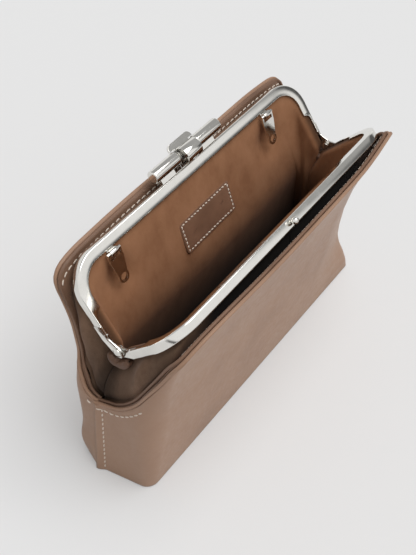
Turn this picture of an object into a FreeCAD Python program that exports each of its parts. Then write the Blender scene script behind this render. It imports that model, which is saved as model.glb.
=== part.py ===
# Frame purse with a rocking bar clasp, open as it stands on a table.
# X runs along the mouth, the front is at -Y, Z is up, and the origin is the middle of the base on the table.
import FreeCAD, Part
import math
import os
import re
import Sketcher

Vector = FreeCAD.Vector
doc = FreeCAD.newDocument("frame_purse")
sheet = doc.addObject("Spreadsheet::Sheet", "sizes")

# Driving dimensions in millimetres, and angles in degrees
driving = (
    # The two metal frame halves, hinged at the ends of the mouth
    ("hinge_height", 105.4),
    ("hinge_half_span", 100),
    ("frame_rise", 50.5),
    ("frame_corner", 20),
    ("channel_width", 5.6),
    ("closed_half_gap", 1),
    ("sheet_metal", 0.9),
    ("inner_flange", 6.2),
    ("outer_flange", 5.5),
    ("flange_start", 10.5),
    ("relief_top", 24),
    ("relief_lip", 1.8),
    ("front_tilt", 41),
    ("back_tilt", 36),
    ("ear_radius", 4),
    ("ear_gap", 0.1),
    ("ear_lap", 6),
    ("ear_neck", 8),
    ("rivet_radius", 1.4),
    ("rivet_head_radius", 2.7),
    ("rivet_head_height", 1.1),
    ("running_clearance", 0.05),
    ("soft_clearance", 0.3),
    ("cut_overrun", 1),
    ("cord_gap", 1.2),
    ("cord_height", 2.4),
    ("cord_width", 2.2),
    # The bar clasp on the back frame and its ball on the front frame
    ("bar_rise", 7.4),
    ("barrel_radius", 3.8),
    ("barrel_inner_end", 7.8),
    ("barrel_outer_end", 28),
    ("barrel_round", 0.9),
    ("shaft_radius", 1.8),
    ("shaft_seat", 12),
    ("collar_neck_radius", 2.6),
    ("foot_inset", 4),
    ("foot_length", 11),
    ("foot_width", 2.4),
    ("foot_out", 1.6),
    ("rocker_half_width", 5.9),
    ("hub_radius", 3.5),
    ("lobe_radius", 5.2),
    ("lobe_reach", 2.3),
    ("lobe_drop", 1),
    ("tab_angle", 72),
    ("tab_half_width", 9.4),
    ("tab_reach", 7.7),
    ("tab_thickness", 1.8),
    ("tab_corner", 3),
    ("press_angle", 18),
    ("ball_radius", 2.1),
    ("ball_rise", 2.6),
    ("ball_room", 0.35),
    ("stud_radius", 1.2),
    ("stud_head_radius", 1.6),
    ("coil_wire", 0.5),
    ("coil_width", 1),
    ("coil_leg", 6.5),
    # The two chain loops that hang from the back frame
    ("left_loop_inset", 29),
    ("right_loop_inset", 35),
    ("curl_radius", 1.7),
    ("curl_width", 5.4),
    ("curl_drop", 2.2),
    ("loop_bar_radius", 0.9),
    ("loop_thickness", 1.2),
    ("loop_half_width", 4.8),
    ("loop_arm", 1.05),
    ("loop_slot", 3.6),
    ("shoulder_drop", 5.4),
    ("eye_drop", 16.2),
    ("eye_radius", 3.6),
    ("eyelet_radius", 2.2),
    ("loop_lean", 20),
    ("cheek_angle", 25),
    ("bracket_sheet", 0.7),
    ("bracket_rise", 3.5),
    # The leather shell: depths are measured from the hinge line, reaches from the middle
    ("leather_sheet", 2),
    ("facing_sheet", 1.8),
    ("layer_gap", 0.1),
    ("seam_height", 70),
    ("split_height", 80),
    ("base_depth", 25),
    ("front_split_depth", 31.5),
    ("back_split_depth", 27),
    ("base_end", 117),
    ("seam_end", 111),
    ("front_rim_end", 101.5),
    ("back_rim_end", 105.5),
    ("base_corner", 110),
    ("seam_corner", 112),
    ("rim_corner_reach", 1.5),
    ("base_round", 8),
    ("seam_round", 14),
    ("rim_round", 4.5),
    ("seam_shift", 8),
    ("right_pinch", 11),
    ("corner_pinch", 7),
    ("rim_offset", 12.3),
    ("rim_rise", 56),
    ("front_rim_round", 15),
    ("back_rim_round", 22),
    ("board_sheet", 1.6),
    ("board_inset", 1),
    ("floor_gap", 0.7),
    # The soft inner bag
    ("lining_sheet", 0.9),
    ("lining_foot_depth", 19),
    ("lining_drape_height", 88),
    ("front_drape_depth", 20),
    ("back_drape_depth", 11.6),
    ("lining_half_length", 100),
    ("lining_neck_half_length", 88),
    ("lining_top_half_length", 82),
    ("lining_tuck", 1.4),
    ("gusset_sheet", 1.2),
    ("gusset_half_depth", 14),
    ("gusset_fold", 13),
    ("gusset_foot_fold", 8),
    ("cuff_radius", 7.6),
    ("cuff_wall", 2.8),
    ("cuff_length", 6),
    ("cuff_proud", 1),
    ("cuff_angle", 22),
    ("patch_length", 46),
    ("patch_height", 16.5),
    ("patch_sheet", 1.2),
    ("patch_corner", 2),
    ("patch_middle_height", 109.3),
)
for row, (alias, value) in enumerate(driving, 1):
    sheet.set(f"A{row}", alias)
    sheet.set(f"B{row}", str(value))
    sheet.setAlias(f"B{row}", alias)
doc.recompute()

# Shares of the sizes that they follow, chosen by hand
mid_height_share = 0.5
pinch_shares = {"base": 0, "mid": 0.7, "seam": 1, "split": 0.85, "low": 0.55, "high": 0.35, "rim": 0.3}
flap_height_shares = {"split": 0, "low": 0.45, "high": 0.75, "rim": 1}
flap_depth_shares = {"split": 0, "low": 0.28, "high": 0.62, "rim": 1}
front_bend_shares = {"split": 0.2, "low": 0.72, "high": 1, "rim": 1}
back_bend_shares = {"split": 0.8, "low": 0.8, "high": 1, "rim": 1}
front_edge_shares = {"split": 0.35, "low": 0.74, "high": 0.84, "rim": 0.86}
back_edge_shares = {"split": 0.47, "low": 0.58, "high": 0.74, "rim": 0.82}
shift_shares = {"split": 0.6, "low": 0.25, "high": 0, "rim": 0}
ear_tangent_share = math.sqrt(0.5)
rivet_dome_share = 0.6
press_shares = (0, 0.5, 1)
stud_neck_share = 0.6

front, back = -1, 1
left, right = -1, 1
side_names = {front: "front", back: "back"}
end_names = {left: "left", right: "right"}


def size(alias):
    return float(sheet.get(alias))


def bound(text):
    # Each alias holds an underscore, so the names of the sheet's cells are found by it
    return re.sub(r"\b([a-z]+(?:_[a-z]+)+)\b", r"sizes.\1", text)


def new_body(name):
    body = doc.addObject("PartDesign::Body", name)
    body.Label = name
    return body


def new_sketch(body, role, shift="0"):
    sketch = body.newObject("Sketcher::SketchObject", "Sketch")
    plane = [item for item in body.Origin.OriginFeatures if item.Role == role]
    sketch.AttachmentSupport = [(plane[0], "")]
    sketch.MapMode = "FlatFace"
    sketch.setExpression("AttachmentOffset.Base.z", bound(shift))
    doc.recompute()
    return sketch


def tie(sketch, kind, geometry, place, text):
    # One dimension from the sketch's origin, bound to the sheet
    value = float(sketch.evalExpression(bound(text)))
    index = sketch.addConstraint(Sketcher.Constraint(kind, -1, 1, geometry, place, value))
    sketch.setExpression(f"Constraints[{index}]", bound(text))


def tie_radius(sketch, geometry, text):
    value = float(sketch.evalExpression(bound(text)))
    index = sketch.addConstraint(Sketcher.Constraint("Radius", geometry, value))
    sketch.setExpression(f"Constraints[{index}]", bound(text))


def draw(sketch, corners):
    # A closed outline. A corner is (x, y), or (x, y, radius, turn) where an arc goes on to the next
    # corner, with turn 1 for an anticlockwise arc and -1 for a clockwise one.
    places = []
    for corner in corners:
        x, y = (float(sketch.evalExpression(bound(text))) for text in corner[:2])
        places.append(Vector(x, y, 0))
    ends = []
    for index, corner in enumerate(corners):
        start = places[index]
        finish = places[(index + 1) % len(places)]
        if len(corner) == 2:
            geometry = sketch.addGeometry(Part.LineSegment(start, finish))
            ends.append((geometry, 1, 2))
            continue
        radius = float(sketch.evalExpression(bound(corner[2])))
        turn = corner[3]
        chord = finish - start
        reach = math.sqrt(max(radius**2 - (chord.Length / 2) ** 2, 0))
        across = Vector(-chord.y, chord.x, 0).normalize()
        centre = (start + finish) * 0.5 + across * reach * turn
        circle = Part.Circle(centre, Vector(0, 0, 1), radius)
        first, last = (start, finish) if turn > 0 else (finish, start)
        angles = [math.atan2(p.y - centre.y, p.x - centre.x) for p in (first, last)]
        geometry = sketch.addGeometry(Part.ArcOfCircle(circle, *angles))
        ends.append((geometry, 1, 2) if turn > 0 else (geometry, 2, 1))
    for index, corner in enumerate(corners):
        geometry, start_place, _ = ends[index]
        before, _, finish_place = ends[index - 1]
        sketch.addConstraint(Sketcher.Constraint("Coincident", before, finish_place, geometry, start_place))
        tie(sketch, "DistanceX", geometry, start_place, corner[0])
        tie(sketch, "DistanceY", geometry, start_place, corner[1])
        if len(corner) == 4:
            tie_radius(sketch, geometry, corner[2])
    return sketch


def draw_circle(sketch, x, y, radius):
    place = [float(sketch.evalExpression(bound(text))) for text in (x, y, radius)]
    circle = Part.Circle(Vector(place[0], place[1], 0), Vector(0, 0, 1), place[2])
    geometry = sketch.addGeometry(circle)
    tie(sketch, "DistanceX", geometry, 3, x)
    tie(sketch, "DistanceY", geometry, 3, y)
    tie_radius(sketch, geometry, radius)
    return sketch


def grow(body, kind, sketch, length, backwards=False, both_ways=False):
    # A pad or a pocket of the bound length
    feature = body.newObject(f"PartDesign::{kind}", kind)
    feature.Profile = sketch
    feature.setExpression("Length", bound(length))
    feature.Reversed = backwards
    if both_ways:
        feature.SideType = "Symmetric"
    doc.recompute()
    return feature


def spin(body, sketch, axis="H_Axis"):
    feature = body.newObject("PartDesign::Revolution", "Revolution")
    feature.Profile = sketch
    feature.ReferenceAxis = (sketch, [axis])
    doc.recompute()
    return feature


def frame_place(side, x=0, out=0, up=0):
    # From a frame's own axes, upright on its hinge line, to where it stands open
    tilt = size("front_tilt") if side == front else -size("back_tilt")
    hinge = FreeCAD.Placement(Vector(0, 0, size("hinge_height")), FreeCAD.Rotation(Vector(1, 0, 0), tilt))
    return hinge * FreeCAD.Placement(Vector(x, side * out, up), FreeCAD.Rotation())


def signed(sign, text):
    return f"{sign} * ({text})"


def put_shape(name, shape):
    item = doc.addObject("Part::Feature", name)
    item.Label = name
    item.Shape = shape
    return item


# Metal frame halves


def arch(outer, inner, low):
    # The outline of an upside-down U between two insets from the frame's outer edge
    foot = low
    wide = "hinge_half_span"
    top = "frame_rise"
    bend = "frame_corner"
    return [
        (f"-({wide} - {outer})", foot),
        (f"-({wide} - {outer})", f"{top} - {bend}", f"{bend} - {outer}", -1),
        (f"-({wide} - {bend})", f"{top} - {outer}"),
        (f"{wide} - {bend}", f"{top} - {outer}", f"{bend} - {outer}", -1),
        (f"{wide} - {outer}", f"{top} - {bend}"),
        (f"{wide} - {outer}", foot),
        (f"{wide} - ({inner})", foot),
        (f"{wide} - ({inner})", f"{top} - {bend}", f"{bend} - ({inner})", 1),
        (f"{wide} - {bend}", f"{top} - ({inner})"),
        (f"-({wide} - {bend})", f"{top} - ({inner})", f"{bend} - ({inner})", 1),
        (f"-({wide} - ({inner}))", f"{top} - {bend}"),
        (f"-({wide} - ({inner}))", foot),
    ]


def frame_channel(side):
    body = new_body(f"{side_names[side]}_frame_channel")
    outward = side == back

    def arch_sketch(out, outer, inner, low):
        sketch = new_sketch(body, "XZ_Plane", signed(-side, out))
        return draw(sketch, arch(outer, inner, low))

    band = arch_sketch("closed_half_gap", "0", "inner_flange", "flange_start")
    grow(body, "Pad", band, "channel_width", outward)
    # The groove that holds the edge of the lining
    groove = arch_sketch(
        "closed_half_gap + sheet_metal",
        "sheet_metal",
        "inner_flange + cut_overrun",
        "flange_start - cut_overrun",
    )
    grow(body, "Pocket", groove, "channel_width - 2 * sheet_metal", not outward)
    # The outer flange is the shallower one
    trim = arch_sketch(
        "closed_half_gap + channel_width - sheet_metal - cut_overrun",
        "outer_flange",
        "inner_flange + cut_overrun",
        "flange_start - cut_overrun",
    )
    grow(body, "Pocket", trim, "sheet_metal + 2 * cut_overrun", not outward)
    for end in (left, right):
        # The inner flange is cut away in a rounded relief next to the hinge
        relief = new_sketch(body, "XZ_Plane", signed(-side, "closed_half_gap - cut_overrun"))
        bend = "inner_flange - relief_lip"
        corners = [
            (signed(end, "hinge_half_span - relief_lip"), "flange_start - cut_overrun"),
            (signed(end, "hinge_half_span - relief_lip"), f"relief_top - ({bend})", bend, end),
            (signed(end, "hinge_half_span - inner_flange"), "relief_top"),
            (signed(end, "hinge_half_span - inner_flange - cut_overrun"), "relief_top"),
            (signed(end, "hinge_half_span - inner_flange - cut_overrun"), "flange_start - cut_overrun"),
        ]
        grow(body, "Pocket", draw(relief, corners), "sheet_metal + cut_overrun", not outward)
        frame_ear(body, side, end)
    body.Placement = frame_place(side)
    return body


def frame_ear(body, side, end):
    # The back ear is the web's own end, and the front ear is a plate lapped inside it
    if side == back:
        far = "hinge_half_span"
        thick = "sheet_metal - ear_gap"
        hole = "rivet_radius"
    else:
        far = "hinge_half_span - sheet_metal"
        thick = "sheet_metal"
        hole = "rivet_radius + running_clearance"
    inward = end == right
    disc = draw_circle(new_sketch(body, "YZ_Plane", signed(end, far)), "0", "0", "ear_radius")
    grow(body, "Pad", disc, thick, inward)
    near_edge = "closed_half_gap"
    far_edge = "closed_half_gap + channel_width"
    neck = [
        ("0", "0"),
        (signed(-side, f"ear_radius * {ear_tangent_share}"), f"ear_radius * {ear_tangent_share}"),
        (signed(side, near_edge), "ear_neck"),
        (signed(side, near_edge), "flange_start + ear_lap"),
        (signed(side, far_edge), "flange_start + ear_lap"),
        (signed(side, far_edge), "ear_neck"),
        (signed(side, "ear_radius"), "0"),
    ]
    grow(body, "Pad", draw(new_sketch(body, "YZ_Plane", signed(end, far)), neck), thick, inward)
    bore = new_sketch(body, "YZ_Plane", signed(end, f"{far} + cut_overrun"))
    draw_circle(bore, "0", "0", hole)
    grow(body, "Pocket", bore, f"{thick} + 2 * cut_overrun", not inward)


def channel_cord(side):
    # The paper cord that packs the lining's edge into the channel
    body = new_body(f"{side_names[side]}_channel_cord")
    inset = "(sheet_metal + cord_gap)"
    out = "closed_half_gap + (channel_width - cord_width) / 2"
    corners = arch(inset, f"{inset} + cord_height", "flange_start + ear_lap + cut_overrun")
    sketch = draw(new_sketch(body, "XZ_Plane", signed(-side, out)), corners)
    grow(body, "Pad", sketch, "cord_width", side == back)
    body.Placement = frame_place(side)


def hinge_rivet(end):
    body = new_body(f"{end_names[end]}_hinge_rivet")
    stack = "hinge_half_span - 2 * sheet_metal - ear_gap"
    profile = [
        (f"{stack} - rivet_head_height", "0"),
        (f"{stack} - rivet_head_height", "rivet_head_radius"),
        (stack, "rivet_head_radius"),
        (stack, "rivet_radius"),
        ("hinge_half_span", "rivet_radius"),
        ("hinge_half_span", "rivet_head_radius"),
        (f"hinge_half_span + rivet_head_height * {rivet_dome_share}", "rivet_head_radius"),
        ("hinge_half_span + rivet_head_height", f"rivet_head_radius * {rivet_dome_share}"),
        ("hinge_half_span + rivet_head_height", "0"),
    ]
    corners = [(signed(end, x), y) for x, y in profile]
    spin(body, draw(new_sketch(body, "XZ_Plane"), corners))
    body.Placement = frame_place(back)


# Bar clasp


def bar_place():
    # The bar lies over the line where the frames close
    return frame_place(back, 0, 0, size("frame_rise") + size("bar_rise"))


def lock_barrel(end):
    body = new_body(f"{end_names[end]}_lock_barrel")
    profile = [
        ("barrel_inner_end", "shaft_radius"),
        ("barrel_inner_end", "barrel_radius - barrel_round", "barrel_round", -1),
        ("barrel_inner_end + barrel_round", "barrel_radius"),
        ("barrel_outer_end - barrel_round", "barrel_radius", "barrel_round", -1),
        ("barrel_outer_end", "barrel_radius - barrel_round"),
        ("barrel_outer_end", "0"),
        ("barrel_inner_end + shaft_seat", "0"),
        ("barrel_inner_end + shaft_seat", "shaft_radius"),
    ]
    spin(body, draw(new_sketch(body, "XZ_Plane"), profile))
    foot = new_sketch(body, "YZ_Plane", "barrel_inner_end + foot_inset")
    corners = [
        (signed(end, "foot_out"), "-bar_rise"),
        (signed(end, "foot_out + foot_width"), "-bar_rise"),
        (signed(end, "foot_out + foot_width"), "-shaft_radius"),
        (signed(end, "foot_out"), "-shaft_radius"),
    ]
    grow(body, "Pad", draw(foot, corners), "foot_length")
    # The left barrel is the same turning, set round to face the other way
    turn = FreeCAD.Rotation(Vector(0, 0, 1), 180 if end == left else 0)
    body.Placement = bar_place() * FreeCAD.Placement(Vector(0, 0, 0), turn)


def lock_shaft():
    # The turned pin between the barrels, with a shoulder on each side of the collar
    body = new_body("lock_shaft")
    tip = "(barrel_inner_end + shaft_seat)"
    shoulder = "(rocker_half_width + soft_clearance)"
    profile = [
        (f"-{tip}", "0"),
        (f"-{tip}", "shaft_radius"),
        ("-barrel_inner_end", "shaft_radius"),
        ("-barrel_inner_end", "collar_neck_radius"),
        (f"-{shoulder}", "collar_neck_radius"),
        (f"-{shoulder}", "shaft_radius"),
        (shoulder, "shaft_radius"),
        (shoulder, "collar_neck_radius"),
        ("barrel_inner_end", "collar_neck_radius"),
        ("barrel_inner_end", "shaft_radius"),
        (tip, "shaft_radius"),
        (tip, "0"),
    ]
    spin(body, draw(new_sketch(body, "XZ_Plane"), profile))
    body.Placement = bar_place()


def tab_turned(along, across):
    # A point given along the thumb tab and across it, in the bar's own axes
    turn = "(tab_angle * 1 deg)"
    return f"({along}) * cos{turn} - ({across}) * sin{turn}", f"({along}) * sin{turn} + ({across}) * cos{turn}"


def lock_rocker():
    # The collar turns on the bar: the socket in its lobe drops over the ball, and the thumb tab lifts it
    body = new_body("lock_rocker")
    width = "2 * rocker_half_width"
    lobe = draw_circle(new_sketch(body, "YZ_Plane"), "-lobe_reach", "-lobe_drop", "lobe_radius")
    grow(body, "Pad", lobe, width, both_ways=True)
    hub = draw_circle(new_sketch(body, "YZ_Plane"), "0", "0", "hub_radius")
    grow(body, "Pad", hub, width, both_ways=True)
    lean = FreeCAD.Placement(Vector(0, 0, 0), FreeCAD.Rotation(Vector(1, 0, 0), size("tab_angle")))
    tab = new_sketch(body, "XY_Plane")
    tab.AttachmentOffset = lean
    root = "shaft_radius + running_clearance + sheet_metal"
    wing = "barrel_radius + soft_clearance"
    plan = [
        ("-rocker_half_width", root),
        ("rocker_half_width", root),
        ("rocker_half_width", wing),
        ("tab_half_width", wing),
        ("tab_half_width", "tab_reach - tab_corner", "tab_corner", 1),
        ("tab_half_width - tab_corner", "tab_reach"),
        ("-(tab_half_width - tab_corner)", "tab_reach", "tab_corner", 1),
        ("-tab_half_width", "tab_reach - tab_corner"),
        ("-tab_half_width", wing),
        ("-rocker_half_width", wing),
    ]
    grow(body, "Pad", draw(tab, plan), "tab_thickness", both_ways=True)
    bore = draw_circle(new_sketch(body, "YZ_Plane"), "0", "0", "shaft_radius + running_clearance")
    grow(body, "Pocket", bore, "2 * (rocker_half_width + cut_overrun)", both_ways=True)
    ball_out = "-(closed_half_gap + channel_width / 2)"
    ball_up = "(ball_rise - bar_rise)"
    cup = "(ball_radius + ball_room)"
    # The socket is swept through the press, so that the collar lifts off the ball
    for share in press_shares:
        turn = f"({share} * press_angle * 1 deg)"
        across = f"{ball_out} * cos{turn} - {ball_up} * sin{turn}"
        upward = f"{ball_out} * sin{turn} + {ball_up} * cos{turn}"
        socket = draw_circle(new_sketch(body, "YZ_Plane"), across, upward, cup)
        grow(body, "Pocket", socket, f"2 * {cup}", both_ways=True)
    body.Placement = bar_place()


def lock_spring():
    # A coil round the shaft's left shoulder, with one leg on the frame and one behind the thumb tab
    body = new_body("lock_spring")
    near = "-(rocker_half_width + 2 * soft_clearance)"
    far = f"{near} - coil_width"
    coil_in = "(collar_neck_radius + soft_clearance)"
    coil_out = f"({coil_in} + coil_wire)"
    ring = [(near, coil_in), (near, coil_out), (far, coil_out), (far, coil_in)]
    spin(body, draw(new_sketch(body, "XZ_Plane"), ring))
    foot = [
        ("foot_out", "-bar_rise"),
        ("foot_out + coil_wire", "-bar_rise"),
        ("foot_out + coil_wire", f"-{coil_in} + coil_wire / 2"),
        ("foot_out", f"-{coil_in} + coil_wire / 2"),
    ]
    grow(body, "Pad", draw(new_sketch(body, "YZ_Plane", near), foot), "coil_width", True)
    face = "-tab_thickness / 2 - soft_clearance"
    leg = [
        tab_turned(coil_in, face),
        tab_turned(coil_in, f"{face} - coil_wire"),
        tab_turned("coil_leg", f"{face} - coil_wire"),
        tab_turned("coil_leg", face),
    ]
    grow(body, "Pad", draw(new_sketch(body, "YZ_Plane", near), leg), "coil_width", True)
    body.Placement = bar_place()


def catch_stud():
    # The ball on the front frame that the lobe holds, riveted through the web
    body = new_body("catch_stud")
    neck = f"stud_radius * {stud_neck_share}"
    ball_foot = f"ball_rise - sqrt(ball_radius ^ 2 - ({neck}) ^ 2)"
    profile = [
        ("0", "-2 * sheet_metal"),
        ("stud_head_radius", "-2 * sheet_metal"),
        ("stud_head_radius", "-sheet_metal"),
        ("stud_radius", "-sheet_metal"),
        ("stud_radius", "0"),
        (neck, "0"),
        (neck, ball_foot, "ball_radius", 1),
        ("ball_radius", "ball_rise", "ball_radius", 1),
        ("0", "ball_rise + ball_radius"),
    ]
    spin(body, draw(new_sketch(body, "XZ_Plane"), profile), "V_Axis")
    out = size("closed_half_gap") + size("channel_width") / 2
    body.Placement = frame_place(front, 0, out, size("frame_rise"))


def drill_stud_hole(body):
    # The web's hole for the stud, in the frame's own axes
    sketch = new_sketch(body, "XY_Plane", "frame_rise + cut_overrun")
    draw_circle(sketch, "0", "-(closed_half_gap + channel_width / 2)", "stud_radius + running_clearance")
    grow(body, "Pocket", sketch, "sheet_metal + 2 * cut_overrun")


# Chain loops


def curl_place(end):
    up = size("frame_rise") - size("inner_flange") - size("curl_drop")
    across = size("hinge_half_span") - size(f"{end_names[end]}_loop_inset")
    return frame_place(back, end * across, 0, up)


def loop_bracket(end):
    # A strap inside the channel, curled round the loop's bar below the flange
    body = new_body(f"{end_names[end]}_loop_bracket")
    strap_in = "closed_half_gap + sheet_metal + running_clearance"
    strap_out = f"{strap_in} + bracket_sheet"
    bend = "curl_drop - soft_clearance"
    corners = [
        ("loop_bar_radius + running_clearance", "0"),
        ("curl_radius", "0"),
        (strap_out, bend),
        (strap_out, "curl_drop + bracket_rise"),
        (strap_in, "curl_drop + bracket_rise"),
        (strap_in, bend),
        ("loop_bar_radius + running_clearance", "bracket_sheet"),
    ]
    curl = draw_circle(new_sketch(body, "YZ_Plane"), "0", "0", "curl_radius")
    grow(body, "Pad", curl, "curl_width", both_ways=True)
    strap = draw(new_sketch(body, "YZ_Plane"), corners)
    grow(body, "Pad", strap, "curl_width", both_ways=True)
    bore = draw_circle(new_sketch(body, "YZ_Plane"), "0", "0", "loop_bar_radius + running_clearance")
    grow(body, "Pocket", bore, "curl_width + 2 * cut_overrun", both_ways=True)
    body.Placement = curl_place(end)


def chain_loop(end):
    # A stamped link with a slot for the curl at the top and an eyelet at its end
    body = new_body(f"{end_names[end]}_chain_loop")
    cheek_x = "eye_radius * cos(cheek_angle * 1 deg)"
    cheek_y = "-eye_drop + eye_radius * sin(cheek_angle * 1 deg)"
    outline = [
        ("-loop_half_width", "0"),
        ("-loop_half_width", "-shoulder_drop"),
        (f"-{cheek_x}", cheek_y, "eye_radius", 1),
        ("0", "-eye_drop - eye_radius", "eye_radius", 1),
        (cheek_x, cheek_y),
        ("loop_half_width", "-shoulder_drop"),
        ("loop_half_width", "0"),
    ]
    plate = draw(new_sketch(body, "XZ_Plane"), outline)
    grow(body, "Pad", plate, "loop_thickness", both_ways=True)
    slot = [
        ("-(loop_half_width - loop_arm)", "-loop_slot"),
        ("loop_half_width - loop_arm", "-loop_slot"),
        ("loop_half_width - loop_arm", "cut_overrun"),
        ("-(loop_half_width - loop_arm)", "cut_overrun"),
    ]
    cut = "loop_thickness + 2 * cut_overrun"
    grow(body, "Pocket", draw(new_sketch(body, "XZ_Plane"), slot), cut, both_ways=True)
    eyelet = draw_circle(new_sketch(body, "XZ_Plane"), "0", "-eye_drop", "eyelet_radius")
    grow(body, "Pocket", eyelet, cut, both_ways=True)
    bar = draw_circle(new_sketch(body, "YZ_Plane"), "0", "0", "loop_bar_radius")
    grow(body, "Pad", bar, "2 * loop_half_width", both_ways=True)
    # It leans from the vertical towards the mouth, whatever the frame's tilt
    lean = FreeCAD.Rotation(Vector(1, 0, 0), size("back_tilt") - size("loop_lean"))
    body.Placement = curl_place(end) * FreeCAD.Placement(Vector(0, 0, 0), lean)


# Leather shell


def frame_point(side, out, up):
    # Depth and height of a point given in a frame's own axes
    place = frame_place(side, 0, out, up).Base
    return abs(place.y), place.z


def between(low, high, share):
    return low + (high - low) * share


def section(side, level):
    # Reach of the edge and of the corner, depth of both, and the corner's rounding, at one level of a wall
    split_depth = size("front_split_depth") if side == front else size("back_split_depth")
    rim_end = size("front_rim_end") if side == front else size("back_rim_end")
    edge_shares = front_edge_shares if side == front else back_edge_shares
    bend_shares = front_bend_shares if side == front else back_bend_shares
    rim_depth, rim_height = frame_point(side, size("rim_offset"), size("rim_rise"))
    seam_share = size("seam_height") / size("split_height")
    heights = {
        "base": 0,
        "mid": size("seam_height") * mid_height_share,
        "seam": size("seam_height"),
    }
    if level in heights:
        height = heights[level]
        share = height / size("seam_height")
        end = between(size("base_end"), size("seam_end"), share)
        corner = between(size("base_corner"), size("seam_corner"), share)
        bend = between(size("base_round"), size("seam_round"), share)
        depth = between(size("base_depth"), split_depth, share * seam_share)
        edge = size("layer_gap") + side * size("seam_shift")
    else:
        height = between(size("split_height"), rim_height, flap_height_shares[level])
        share = (height - size("seam_height")) / (rim_height - size("seam_height"))
        end = between(size("seam_end"), rim_end, share)
        corner = between(size("seam_corner"), rim_end + size("rim_corner_reach"), share)
        bend = between(size("seam_round"), size("rim_round"), bend_shares[level])
        depth = between(split_depth, rim_depth, flap_depth_shares[level])
        edge = depth * edge_shares[level] + side * size("seam_shift") * shift_shares[level]
    pinch = size("right_pinch") * pinch_shares[level]
    corner_pinch = pinch
    if side == front:
        corner_pinch += size("corner_pinch") * pinch_shares[level]
    return {
        "height": height,
        "depth": depth,
        "edge": edge,
        "bend": bend,
        "ends": {left: end, right: end - pinch},
        "corners": {left: corner, right: corner - corner_pinch},
    }


def wall_curve(side, cut, end, inset):
    # The end wall runs straight from its edge and turns through an arc into the face. The points are
    # the edge, the arc's start, middle and end, all pushed inwards by the inset.
    edge = Vector(cut["ends"][end], cut["edge"], 0)
    corner = Vector(cut["corners"][end], cut["depth"], 0)
    along = (edge - corner).normalize()
    half_angle = math.acos(-along.x) / 2
    run = cut["bend"] / math.tan(half_angle)
    first = corner + along * run
    centre = Vector(corner.x - run, corner.y - cut["bend"], 0)
    inwards = (centre - first) * (inset / cut["bend"])
    outwards = (corner - centre).normalize()
    points = (
        edge + inwards - along * (inwards.y / along.y),
        first + inwards,
        centre + outwards * (cut["bend"] - inset),
        centre + Vector(0, cut["bend"] - inset, 0),
    )
    return [Vector(end * point.x, side * point.y, cut["height"]) for point in points]


def curve_edges(points, reverse=False):
    line = Part.LineSegment(*points[:2])
    arc = Part.Arc(*points[1:])
    if not reverse:
        return [line, arc]
    return [Part.Arc(*reversed(points[1:])), Part.LineSegment(points[1], points[0])]


def wall_wire(side, cut, outside, inside):
    # One level of a wall: left corner, face and right corner outside, and back along the inside
    left_out, left_in = (wall_curve(side, cut, left, inset) for inset in (outside, inside))
    right_out, right_in = (wall_curve(side, cut, right, inset) for inset in (outside, inside))
    edges = curve_edges(left_out)
    edges.append(Part.LineSegment(left_out[3], right_out[3]))
    edges += curve_edges(right_out, True)
    edges.append(Part.LineSegment(right_out[0], right_in[0]))
    edges += curve_edges(right_in)
    edges.append(Part.LineSegment(right_in[3], left_in[3]))
    edges += curve_edges(left_in, True)
    edges.append(Part.LineSegment(left_in[0], left_out[0]))
    return Part.Wire([edge.toShape() for edge in edges])


def wall(side, levels, outside, inside, lift=0):
    # A wall of even thickness, lofted from level to level
    wires = []
    for level in levels:
        cut = section(side, level)
        if lift and level == levels[0]:
            cut["height"] += lift
        wires.append(wall_wire(side, cut, outside, inside))
    return Part.makeLoft(wires, True, True)


def rim_cutter(side):
    # What lies outside the rounded top corners of a flap, in the frame's own axes
    bend = size("front_rim_round") if side == front else size("back_rim_round")
    cut = section(side, "rim")
    over = size("cut_overrun") + size("rim_offset")
    depth = size("base_end")
    low = size("rim_rise") - bend
    pieces = []
    for end in (left, right):
        middle = end * (cut["corners"][end] - bend)
        corner = Part.makeBox(bend + over, 2 * depth, bend + over)
        start = middle if end == right else middle - bend - over
        corner.translate(Vector(start, -depth, low))
        round_part = Part.makeCylinder(bend, 2 * depth, Vector(middle, -depth, low), Vector(0, 1, 0))
        pieces.append(corner.cut(round_part))
    cutter = pieces[0].fuse(pieces[1])
    cutter.Placement = frame_place(side)
    return cutter


def leather_panels():
    sheet_in = size("leather_sheet")
    facing_out = sheet_in + size("layer_gap")
    facing_in = facing_out + size("facing_sheet")
    for side in (front, back):
        name = side_names[side]
        put_shape(f"{name}_panel", wall(side, ("base", "mid", "seam", "split"), 0, sheet_in))
        flap = wall(side, ("split", "low", "high", "rim"), 0, sheet_in, size("soft_clearance"))
        facing = wall(side, ("low", "high", "rim"), facing_out, facing_in)
        cutter = rim_cutter(side)
        flap = flap.cut(cutter)
        facing = facing.cut(cutter)
        put_shape(f"{name}_flap", flap)
        put_shape(f"{name}_facing", facing)


def floor_plate(name, inset, low, thickness):
    # A plate that fills the walls' plan at the base
    front_cut = section(front, "base")
    back_cut = section(back, "base")
    front_left, front_right = (wall_curve(front, front_cut, end, inset) for end in (left, right))
    back_left, back_right = (wall_curve(back, back_cut, end, inset) for end in (left, right))
    edges = curve_edges(front_left)
    edges.append(Part.LineSegment(front_left[3], front_right[3]))
    edges += curve_edges(front_right, True)
    edges.append(Part.LineSegment(front_right[0], back_right[0]))
    edges += curve_edges(back_right)
    edges.append(Part.LineSegment(back_right[3], back_left[3]))
    edges += curve_edges(back_left, True)
    edges.append(Part.LineSegment(back_left[0], front_left[0]))
    face = Part.Face(Part.Wire([edge.toShape() for edge in edges]))
    face.translate(Vector(0, 0, low))
    put_shape(name, face.extrude(Vector(0, 0, thickness)))


# Soft inner bag


def inner_floor():
    return size("leather_sheet") + size("board_sheet") + size("layer_gap")


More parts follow.
